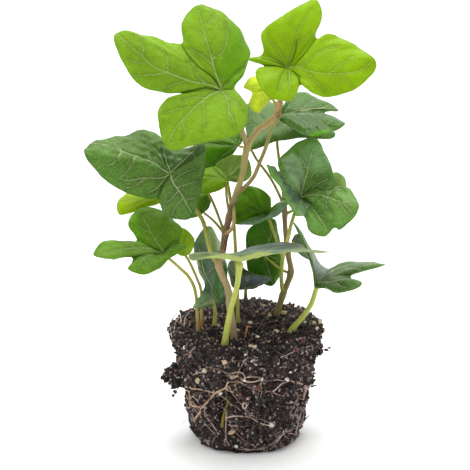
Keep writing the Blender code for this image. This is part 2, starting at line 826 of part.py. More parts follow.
def make_blade(name, leaf):
    """The lobed blade as a thin closed sheet, bowed between its joint and its edge."""
    joint = joint_place(leaf)
    edge = edge_places(leaf)
    normal = blade_normal(joint, edge)
    outline = blade_outline(edge)
    data = bmesh.new()
    centre = data.verts.new(metres(joint))
    rings = []
    for share in BLADE_RINGS:
        ring = []
        for point in outline:
            arm = point - joint
            bow = leaf.arch * arm.length * 4 * share * (1 - share)
            ring.append(data.verts.new(metres(joint + arm * share + normal * bow)))
        rings.append(ring)
    count = len(outline)
    for index in range(count):
        data.faces.new((centre, rings[0][index], rings[0][(index + 1) % count]))
    for ring, following in zip(rings, rings[1:]):
        for index in range(count):
            beside = (index + 1) % count
            data.faces.new((ring[index], following[index], following[beside]))
            data.faces.new((ring[index], following[beside], ring[beside]))
    blade = object_from(name, data)
    sheet = blade.modifiers.new("Thickness", "SOLIDIFY")
    sheet.thickness = BLADE_THICKNESS * MILLIMETRE
    sheet.offset = 0.0
    apply_modifiers(blade)
    return blade


def make_leaf(name, leaf):
    """A whole leaf: its blade and its stalk in one body."""
    blade = make_blade(name, leaf)
    stalk = stalk_bar(name + "_stalk", leaf, 0.0)
    if leaf.held_by != "soil":
        combine(stalk, holder_bars(leaf.held_by), "DIFFERENCE")
    combine(blade, [stalk], "UNION", "MANIFOLD")
    return blade


def main():
    clear_scene()
    materials = make_materials()
    soil = make_soil()
    cutters = []
    for name, web in ROOT_WEBS.items():
        finish(make_roots(name, web), materials["root_tan"])
        cutters += root_strands(name + "_groove", web, GAP)
    for name, stem in STEMS.items():
        finish(make_stem(name, stem), materials["stem_bark"])
        cutters += stem_bars(name + "_hole", stem, GAP, 1)
    for name, leaf in LEAVES.items():
        finish(make_leaf(name, leaf), materials[leaf.colour])
        if leaf.held_by == "soil":
            cutters.append(stalk_bar(name + "_hole", leaf, GAP))
    combine(soil, cutters, "DIFFERENCE", "MANIFOLD")
    drop_loose_crumbs(soil)
    finish(soil, materials["soil_peat"])


main()
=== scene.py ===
"""Looks of a young English ivy with its bare root ball: veined lobed leaves, stalks, bark, peat and roots.

The plant's sizes and places are in millimetres and become metres where a mesh is made. What the
studio, the node trees and the finishes read is in metres. The leaves are laid out in the front view, as
how far across and up they are from its middle and how far back they lie.
"""

import logging
import math
import random
from dataclasses import dataclass, field
from enum import Enum

import bmesh
import bpy
import numpy as np
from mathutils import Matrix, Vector, noise


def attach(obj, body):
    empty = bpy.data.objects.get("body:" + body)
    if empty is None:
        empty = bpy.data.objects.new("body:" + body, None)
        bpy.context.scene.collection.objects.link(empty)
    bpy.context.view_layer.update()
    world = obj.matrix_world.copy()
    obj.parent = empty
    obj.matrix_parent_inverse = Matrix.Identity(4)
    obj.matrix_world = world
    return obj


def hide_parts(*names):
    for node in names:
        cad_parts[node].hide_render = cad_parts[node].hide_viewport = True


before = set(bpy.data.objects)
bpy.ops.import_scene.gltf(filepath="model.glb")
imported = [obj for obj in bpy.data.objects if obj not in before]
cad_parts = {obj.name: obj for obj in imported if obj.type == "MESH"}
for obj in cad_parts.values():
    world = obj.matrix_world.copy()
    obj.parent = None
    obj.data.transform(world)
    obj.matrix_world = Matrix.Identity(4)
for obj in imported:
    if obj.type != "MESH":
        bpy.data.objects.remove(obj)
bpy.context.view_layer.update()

LOG = logging.getLogger("ivy")
MILLIMETRE = 0.001
MAIN_ROOTS = ("roots_front_left", "roots_back")

Point = tuple[float, ...]
Colour = tuple[float, float, float, float]


class Slot(Enum):
    """The record's material slots."""

    BRIGHT = "leaf_bright"
    YOUNG = "leaf_young"
    DARK = "leaf_dark"
    OLIVE = "leaf_olive"
    BARK = "stem_bark"
    PEAT = "soil_peat"
    ROOT = "root_tan"


class Foliage(Enum):
    """The finishes that the leaves come in."""

    CROWN = "crown"
    SUNLIT = "sunlit"
    YOUNG = "young"
    VEINED = "veined"
    MIDDLE = "middle"
    DEEP = "deep"
    WAXY = "waxy"
    SAGE = "sage"


def paint(code: str) -> Colour:
    """A colour as light values.

    Args:
        code: red, green and blue as six hexadecimal digits.

    Returns:
        The linear colour with full alpha.
    """
    shares = [int(code[start:start + 2], 16) / 255 for start in (0, 2, 4)]
    # The sRGB curve: straight near black, a power above.
    red, green, blue = ((share / 12.92 if share <= 0.04045 else ((share + 0.055) / 1.055) ** 2.4)
                        for share in shares)
    return red, green, blue, 1.0


def scaled(colour: Colour, factor: float) -> Colour:
    """A colour made darker or lighter."""
    red, green, blue, alpha = colour
    return min(red * factor, 1.0), min(green * factor, 1.0), min(blue * factor, 1.0), alpha


def between(first: Colour, second: Colour, share: float) -> Colour:
    """The colour part of the way from one to another."""
    red, green, blue, alpha = (start + (end - start) * share for start, end in zip(first, second))
    return red, green, blue, alpha


@dataclass(frozen=True)
class FrontView:
    """The front view that the plant is laid out in and seen from."""

    tilt: float = math.radians(18.0)
    distance: float = 1100.0
    middle: Point = (-6.0, 0.0, 107.5)
    lens: float = 168.5
    sensor: float = 36.0

    @property
    def ahead(self) -> Vector:
        """The direction of view."""
        return Vector((0, math.cos(self.tilt), -math.sin(self.tilt)))

    @property
    def upwards(self) -> Vector:
        """The direction that is up in the view."""
        return Vector((0, math.sin(self.tilt), math.cos(self.tilt)))

    @property
    def eye(self) -> Vector:
        """The place that the view is seen from."""
        return Vector(self.middle) - self.ahead * self.distance

    def ray(self, across: float, up: float) -> Vector:
        """The way from the eye to a point so far right of the view's middle and above it."""
        return self.ahead * self.distance + Vector((across, 0, 0)) + self.upwards * up

    def place(self, across: float, up: float, back: float) -> Vector:
        """The real place of a point of the view, given how far across, up and back along Y it is."""
        ray = self.ray(across, up)
        return self.eye + ray * (back - self.eye.y) / ray.y

    def seen(self, places: np.ndarray) -> np.ndarray:
        """Where the view shows places.

        Args:
            places: the places, one a row.

        Returns:
            How far across and up each is seen, one a row.
        """
        offsets = places - np.array(self.eye)
        scale = self.distance / (offsets @ np.array(self.ahead))
        return np.stack((offsets[:, 0] * scale, offsets @ np.array(self.upwards) * scale), axis=1)


VIEW = FrontView()


@dataclass(frozen=True)
class Shade:
    """A part of a blade painted in a tone of its own, with how firmly it shows and its outline in the front
    view: partly the leaf's own tone, partly painted shade and painted sheen.
    """

    tone: str
    strength: float
    area: tuple
    softness: float = 2.0


@dataclass(frozen=True)
class LeafDetail:
    """What the front view shows on one blade: veins with their widths, folds, and darker or paler parts that
    are partly its own tone and partly painted shade and painted sheen.
    """

    veins: tuple = ()
    folds: tuple = ()
    shades: tuple = ()


@dataclass(frozen=True)
class LeafPlan:
    """One leaf as laid out: its joint, the points of its edge, and its stalk down from the joint.

    The edge goes by way of the tips of the lobes and the notches between them, clockwise as the upper face
    is seen. A point with no depth lies in the plane of its neighbours and the joint.
    """

    slot: Slot
    foliage: Foliage
    tone: str
    joint: Point
    edge: tuple
    stalk: tuple
    held_by: str
    stalk_radius: float = 0.8
    neck: float = 1.0
    arch: float = 0.05
    relief: float = 1.0
    under: str = "8A9A5E"
    crinkle: float = 0.1


@dataclass(frozen=True)
class StemPlan:
    """One woody stem: its branches as paths of points, and its radius at the foot and at the tip."""

    branches: tuple
    foot_radius: float
    tip_radius: float


STEMS = {
    "stem_main": StemPlan(
        foot_radius=1.9, tip_radius=1.4,
        branches=(
            ((-6.5, -19, 60.5), (-8.5, -19, 76), (-9.5, -17, 85), (-14, -14, 96), (-12, -12, 103),
                (-11, -10, 110), (-9.5, -9, 117), (-7.5, -8, 125), (-4.5, -8, 134), (-2, -7, 142.5),
                (0, -6, 155)),
            ((-2, -7, 142.5), (0, -6, 154.5), (5, -4, 162.5), (10.5, -2, 166), (14.5, 0, 170),
                (16, -1, 176.5)),
        ),
    ),
    "stem_right": StemPlan(
        foot_radius=1.7, tip_radius=1.1,
        branches=(
            ((15, 8, 60.5), (18.3, 9, 72.5), (22.3, 10, 84), (21, 10, 93.5), (19.5, 10, 105.5),
                (19, 9, 115.5), (18.5, 9, 123.5)),
        ),
    ),
}

LEAVES = {
    "leaf_crown_left": LeafPlan(
        slot=Slot.BRIGHT, foliage=Foliage.CROWN, tone="668918", joint=(-6.5, 72.5, -14),
        held_by="stem_main", stalk_radius=1.1,
        edge=(
            (-51, 78), (-60.2, 96, -18), (-57, 102), (-41, 99), (-27, 95.5), (-26.8, 105), (-22.5, 112.5),
            (-16, 115, 4), (-8, 112), (0.2, 105.5), (7.3, 92, 4), (4.2, 80), (-0.3, 73), (6, 65),
            (3, 51.5, -30), (-17.5, 45.8), (-33.5, 43, -34), (-38.7, 60), (-34.5, 67.5), (-27, 71),
            (-40, 71.8),
        ),
        stalk=((-6.5, -7, 173), (-2.5, -8, 163.5), (0, -6, 154.5)),
    ),
    "leaf_crown_right": LeafPlan(
        slot=Slot.YOUNG, foliage=Foliage.SUNLIT, tone="749608", joint=(26.35, 83, -8), held_by="stem_main",
        edge=(
            (6.5, 87.8, -14), (14, 91), (13.5, 101.5), (24.5, 110.3), (35, 116.2), (40.5, 117.5, 8),
            (43.7, 110.5), (40.5, 98.8), (50, 100), (70.5, 86.5, -14), (61, 73.5), (46.5, 69, -20),
            (38.5, 71), (33, 75), (29.5, 68.5), (23, 66.8, -26), (14, 72), (10.3, 81.5), (14.5, 84.6),
        ),
        stalk=((18, -4, 185), (16, -1, 176.5)),
    ),
    "leaf_crown_young": LeafPlan(
        slot=Slot.YOUNG, foliage=Foliage.YOUNG, tone="BCCF2D", joint=(15.5, 72.5, -2), held_by="stem_main",
        stalk_radius=0.6,
        edge=(
            (4.5, 74, -6), (7.5, 78.5), (13.5, 79.5, 3), (19.5, 73.5, 3), (16.5, 66), (11, 61, -10),
            (7, 65.5), (8.5, 71),
        ),
        stalk=((12, -1, 178.5), (15, -1, 173.5)),
    ),
    "leaf_left_upper": LeafPlan(
        slot=Slot.DARK, foliage=Foliage.VEINED, tone="3F6022", crinkle=0.3, joint=(-32, 30, -20),
        held_by="stem_main", stalk_radius=1,
        edge=(
            (-75.5, 41, -26), (-68.5, 47.5), (-56.5, 49.5, -8), (-42.5, 52.5, 0), (-30, 42.5),
            (-15.5, 45.5, -6), (-16.5, 25), (-21.5, 9, -26), (-34, 9.2), (-39, 18.5), (-42.5, 18, -26),
            (-54, 21), (-65.5, 28),
        ),
        stalk=((-31, -14, 132.5), (-24, -12, 122.5), (-21, -12, 116), (-18, -13, 103), (-14, -14, 96)),
    ),
    "leaf_left_young": LeafPlan(
        slot=Slot.YOUNG, foliage=Foliage.YOUNG, tone="7D9909", joint=(-38.5, 19.5, -4), held_by="stem_main",
        stalk_radius=0.6,
        edge=(
            (-57.5, 10.2, -10), (-58.4, 17), (-51.5, 22.5, 2), (-39, 24.5, 3), (-36, 17.5, -2),
            (-46.5, 13, -8),
        ),
        stalk=((-33, 2, 133.5), (-24, 2, 133), (-18, -2, 127.5), (-11, -10, 111.5)),
    ),
    "leaf_left_lower": LeafPlan(
        slot=Slot.DARK, foliage=Foliage.MIDDLE, tone="4B7118", crinkle=0.15, joint=(-36.5, -9.5, -24),
        held_by="soil",
        edge=(
            (-70.8, -9.5, -36), (-65, -3.2), (-49.5, -2.8), (-53.6, 5.2), (-49.5, 12.2, -12),
            (-40, 13.7, -8), (-27.5, 4.8), (-27.5, -3.5), (-24, -6, -16), (-31.5, -11), (-38, -16.8),
            (-44.5, -19.5, -42), (-53.5, -17.5, -40), (-51.5, -11.3), (-64.5, -12),
        ),
        stalk=(
            (-37.5, -23, 102), (-33, -21, 97), (-28.5, -17, 90.5), (-25.5, -12, 80), (-24.5, -10.5, 60.5),
        ),
    ),
    "leaf_left_back": LeafPlan(
        slot=Slot.YOUNG, foliage=Foliage.YOUNG, tone="779513", joint=(-25.25, -9.5, -8), held_by="soil",
        stalk_radius=0.7,
        edge=(
            (-32.5, -4.5, 0), (-30.5, 3), (-25.5, 3.5, -2), (-20.5, -1.5, -8), (-20.5, -5.5), (-23.5, -10),
            (-28, -9.8),
        ),
        stalk=((-28.5, -8, 95.5), (-24.8, -7.5, 86.5), (-23, -4, 78.5), (-22.7, -3.5, 60.5)),
    ),
    "leaf_left_small": LeafPlan(
        slot=Slot.DARK, foliage=Foliage.DEEP, tone="46720B", joint=(-16, 11.5, -2), held_by="stem_main",
        stalk_radius=0.6,
        edge=((-21.5, 8.5, -6), (-24, 15, 0), (-18, 20, 2), (-12.5, 19.5, 3), (-13, 13.5)),
        stalk=((-16, -4, 115.5), (-11, -9, 110.5)),
    ),
    "leaf_left_curled": LeafPlan(
        slot=Slot.DARK, foliage=Foliage.WAXY, tone="607852", relief=0.6, joint=(-11.5, -32, -4),
        held_by="soil", stalk_radius=0.9,
        edge=(
            (-20.5, -36.5, -21), (-15.3, -26, -3), (-18.5, -16.5, -2), (-20.5, -4.5, -2), (-13, 4.5, 6),
            (-6.5, -5.5, 12), (-4, -18.5, 14), (-4.5, -32.5, 10),
        ),
        stalk=((-16, -5, 68), (-16.5, -6, 60.5)),
    ),
    "leaf_middle_dark": LeafPlan(
        slot=Slot.DARK, foliage=Foliage.DEEP, tone="3E6F03", joint=(1.5, 44.5, 14), held_by="stem_right",
        stalk_radius=0.6,
        edge=(
            (-6.5, 37, 13), (-15, 33, 10), (-17.5, 42.5, 12), (-12.5, 51.5, 22), (-2.5, 53.5, 26),
            (4, 48.5, 23),
        ),
        stalk=((1.5, 10.5, 149), (5, 6.5, 144.5), (11.5, 6.5, 135.5), (16, 7.5, 126.5), (19, 9, 118.5)),
    ),
    "leaf_middle_olive": LeafPlan(
        slot=Slot.OLIVE, foliage=Foliage.SAGE, tone="577A1E", under="7A9A40", joint=(-4, 27.5, 2),
        held_by="soil",
        edge=((5.5, 27.5, -4), (8, 33.5, 1), (6, 39, 5), (-1.5, 40, 8), (-9, 36, 6), (-8, 31.5, 3)),
        stalk=((-8.5, 5, 125.5), (-6.5, 6, 110.5), (-5, 2, 82.5), (-4.5, -3, 60.5)),
    ),
    "leaf_middle_light": LeafPlan(
        slot=Slot.BRIGHT, foliage=Foliage.YOUNG, tone="678A12", joint=(-4.75, 27.5, -4),
        held_by="stem_main", stalk_radius=0.6,
        edge=(
            (-6.5, 23, -6), (-14, 20.5, -8), (-18.5, 21.5), (-19.5, 28.5, 0), (-16.5, 33, 4),
            (-10, 33.5, 4), (-3.2, 28, -3),
        ),
        stalk=((-10, -5, 127.5), (-8.5, -8, 119.5)),
    ),
    "leaf_centre_round": LeafPlan(
        slot=Slot.DARK, foliage=Foliage.DEEP, tone="5A8A14", relief=0.7, joint=(16.5, 9, 6),
        held_by="leaf_right_large", stalk_radius=0.7,
        edge=(
            (0.5, 5.5, -4), (-0.5, 15), (4, 23, 10), (10, 24.3, 14), (17.6, 19, 12), (18.3, 13.3, 8),
            (21.5, 15.5, 0), (27, 17.5, -12), (24, 12, -12), (13.5, 6.5, -8),
        ),
        stalk=((15, 7, 102.5), (18.2, 4, 93.5)),
    ),
    "leaf_centre_lower": LeafPlan(
        slot=Slot.DARK, foliage=Foliage.DEEP, tone="2E590A", joint=(14, -9.5, 18), held_by="stem_right",
        stalk_radius=0.6,
        edge=(
            (6.5, -17.5, 17), (5.5, -6.5), (6, 1.5, 17), (12, 7, 20), (20, 7.5, 24), (22.5, -4.5, 22),
            (23.5, -17.5, 19), (19, -25, 18), (11.5, -23),
        ),
        stalk=((15, 16, 85.5), (22.3, 10, 83.5)),
    ),
    "leaf_front_level": LeafPlan(
        slot=Slot.OLIVE, foliage=Foliage.SAGE, tone="6A7A4F", under="A4B264", relief=0.35,
        joint=(2.5, -13.2, -32), held_by="soil", stalk_radius=1.3, neck=1.8,
        edge=(
            (-21.3, -12.8, -44), (-22.3, -9.4, -40), (-12, -9.6, -30), (-1.5, -9.8, -16), (5.5, -7.3, -8),
            (14, -5.3), (26.5, -3.9, -10), (33.5, -5.3, -20), (37.5, -7.6), (48, -8.8, -36),
            (33.5, -8.6, -48), (17, -8.5, -56), (9.5, -8.7, -58), (1.5, -9.9, -56), (-10, -10.2, -52),
        ),
        stalk=((-5, -31, 91.5), (-8.5, -28, 76), (-11, -27, 60)),
    ),
    "leaf_right_upper": LeafPlan(
        slot=Slot.DARK, foliage=Foliage.WAXY, tone="396218", crinkle=0.12, relief=0.6, joint=(23, 59.5, 4),
        held_by="stem_main", stalk_radius=0.9,
        edge=(
            (26, 67.5, 14), (32.5, 71.5, 24), (42.5, 68), (52, 62.5, 16), (45, 61), (55, 56, -6), (49, 52),
            (37.5, 49.5, -18), (28.5, 53.5, -6), (21.7, 59, 2),
        ),
        stalk=((12, 4, 161.5), (9.5, 1, 153.5), (6.5, -3, 147), (3, -5, 139), (-3.5, -8, 132.5)),
    ),
    "leaf_right_folded": LeafPlan(
        slot=Slot.DARK, foliage=Foliage.WAXY, tone="3F5E24", crinkle=0.08, relief=0.4,
        joint=(20.5, 53.5, 14), held_by="stem_right", stalk_radius=0.7,
        edge=(
            (20, 46.5, 6), (8, 42.5, 2), (6, 48.5), (5, 63.5, 34), (10.5, 66, 38), (20, 65.5, 40),
            (32.5, 56.5, 32), (49, 52, 16), (47.5, 48, 10), (33.5, 48.5, 8),
        ),
        stalk=((15.5, 11, 147.5), (17.5, 9, 134.5), (18.5, 9, 123.5)),
    ),
    "leaf_right_large": LeafPlan(
        slot=Slot.DARK, foliage=Foliage.VEINED, tone="4F7430", crinkle=0.4, joint=(32.4, 18.5, -10),
        held_by="stem_right", stalk_radius=0.9,
        edge=(
            (34.5, 9.5, -28), (29.5, 10.5, -30), (23.5, 21.5, -28), (15.5, 35, -26), (26.5, 24.9, -14),
            (21.4, 35.5, -6), (24.3, 40.5), (33.5, 47.5, 4), (41.8, 47, 6), (50, 28.5, -4), (48, 24),
            (56, 24, -8), (62, 13.5, -22), (53.5, 3), (49.5, 3.5), (44.5, -1, -26), (36.5, 3, -28),
        ),
        stalk=((22.5, -2, 115.5), (20.5, 2, 105), (18.2, 4, 94.5), (17.5, 6, 82.5), (18.5, 9, 72.5)),
    ),
    "leaf_right_young": LeafPlan(
        slot=Slot.YOUNG, foliage=Foliage.YOUNG, tone="6D8947", joint=(45.5, 23.5, 3), held_by="stem_right",
        stalk_radius=0.6,
        edge=((44.5, 28, 7), (50, 31.5, 9), (54.7, 28.5, 7), (55.5, 23.5, 1), (50, 20.5), (44, 20, 0)),
        stalk=((30, 5, 122.5), (19, 9, 115.5)),
    ),
    "leaf_right_small": LeafPlan(
        slot=Slot.DARK, foliage=Foliage.WAXY, tone="41612A", relief=0.4, joint=(30, -2.6, 12.5),
        held_by="stem_right", stalk_radius=0.6,
        edge=((31, 0.6, 11), (36, -5.2, 10), (38.5, -12.5, 8), (33.5, -10.5, 11), (28.3, -4.5, 13)),
        stalk=((21, 10, 96.5),),
    ),
    "leaf_right_lower": LeafPlan(
        slot=Slot.DARK, foliage=Foliage.WAXY, tone="3E5C26", relief=0.5, joint=(41.2, -24.5, -12),
        held_by="soil", stalk_radius=1.2,
        edge=(
            (38, -15, -10), (29, 7, 2), (39, -8.5, 4), (46.3, -17, 4), (55, -13.5), (75, -14.7, -12),
            (58.2, -20.4), (63.5, -24, -26), (59.5, -27.2), (51.5, -29, -26), (44.5, -26.6, -16),
            (39.8, -25.8, -13),
        ),
        stalk=((34, -12, 81.5), (32, -12, 75), (28, -12, 68.5), (22, -12, 60.5)),
    ),
    "leaf_back_low": LeafPlan(
        slot=Slot.DARK, foliage=Foliage.WAXY, tone="2A3B1C", relief=0.5, joint=(5.5, -26, 16),
        held_by="soil",
        edge=(
            (-3.2, -20, 20), (-3, -13.5, 19), (1.5, -13, 14), (5.5, -17.5), (10, -19.5, 7),
            (18.7, -21.6, 3), (14, -24.2, 8.5), (8.5, -26.8), (-0.5, -26.5, 18),
        ),
        stalk=((-0.5, 22, 70.5), (-0.5, 30, 66), (-0.5, 32, 60.5)),
    ),
}

ROOT_WEBS = {
    "roots_front_left": (0.75, (
        ((-68, 10.5), (-46, 22.5), (-29, 34), (-19, 38), (-15, 42.5), (-8, 45.5), (-2, 43), (13, 43)),
        ((-70, 28), (-62, 22), (-46, 22.5), (-30, 10)), ((-78, 29), (-50, 33), (-29, 34)),
        ((-19, 38), (-8, 34)),
    )),
    "roots_front_low": (0.7, (
        ((-19, 24), (-21, 17), (-20, 7), (-10, 3), (6, 2.5), (20, 3)),
        ((-20, 21), (-7, 23.5), (11, 19), (24, 16)),
    )),
    "roots_right": (0.7, (
        ((23, 35), (35, 40), (52, 36), (67, 31), (62, 25), (59, 13), (50, 9), (39, 10), (26, 4.5)),
        ((67, 31), (84, 22), (92, 9)),
    )),
    "roots_back": (0.75, (
        ((112, 12), (130, 24), (148, 29), (168, 40), (186, 37), (206, 44), (228, 41)),
        ((148, 29), (160, 18), (178, 11), (196, 5)), ((186, 37), (200, 26), (222, 20), (244, 8)),
        ((206, 44), (214, 30), (222, 20)),
    )),
}
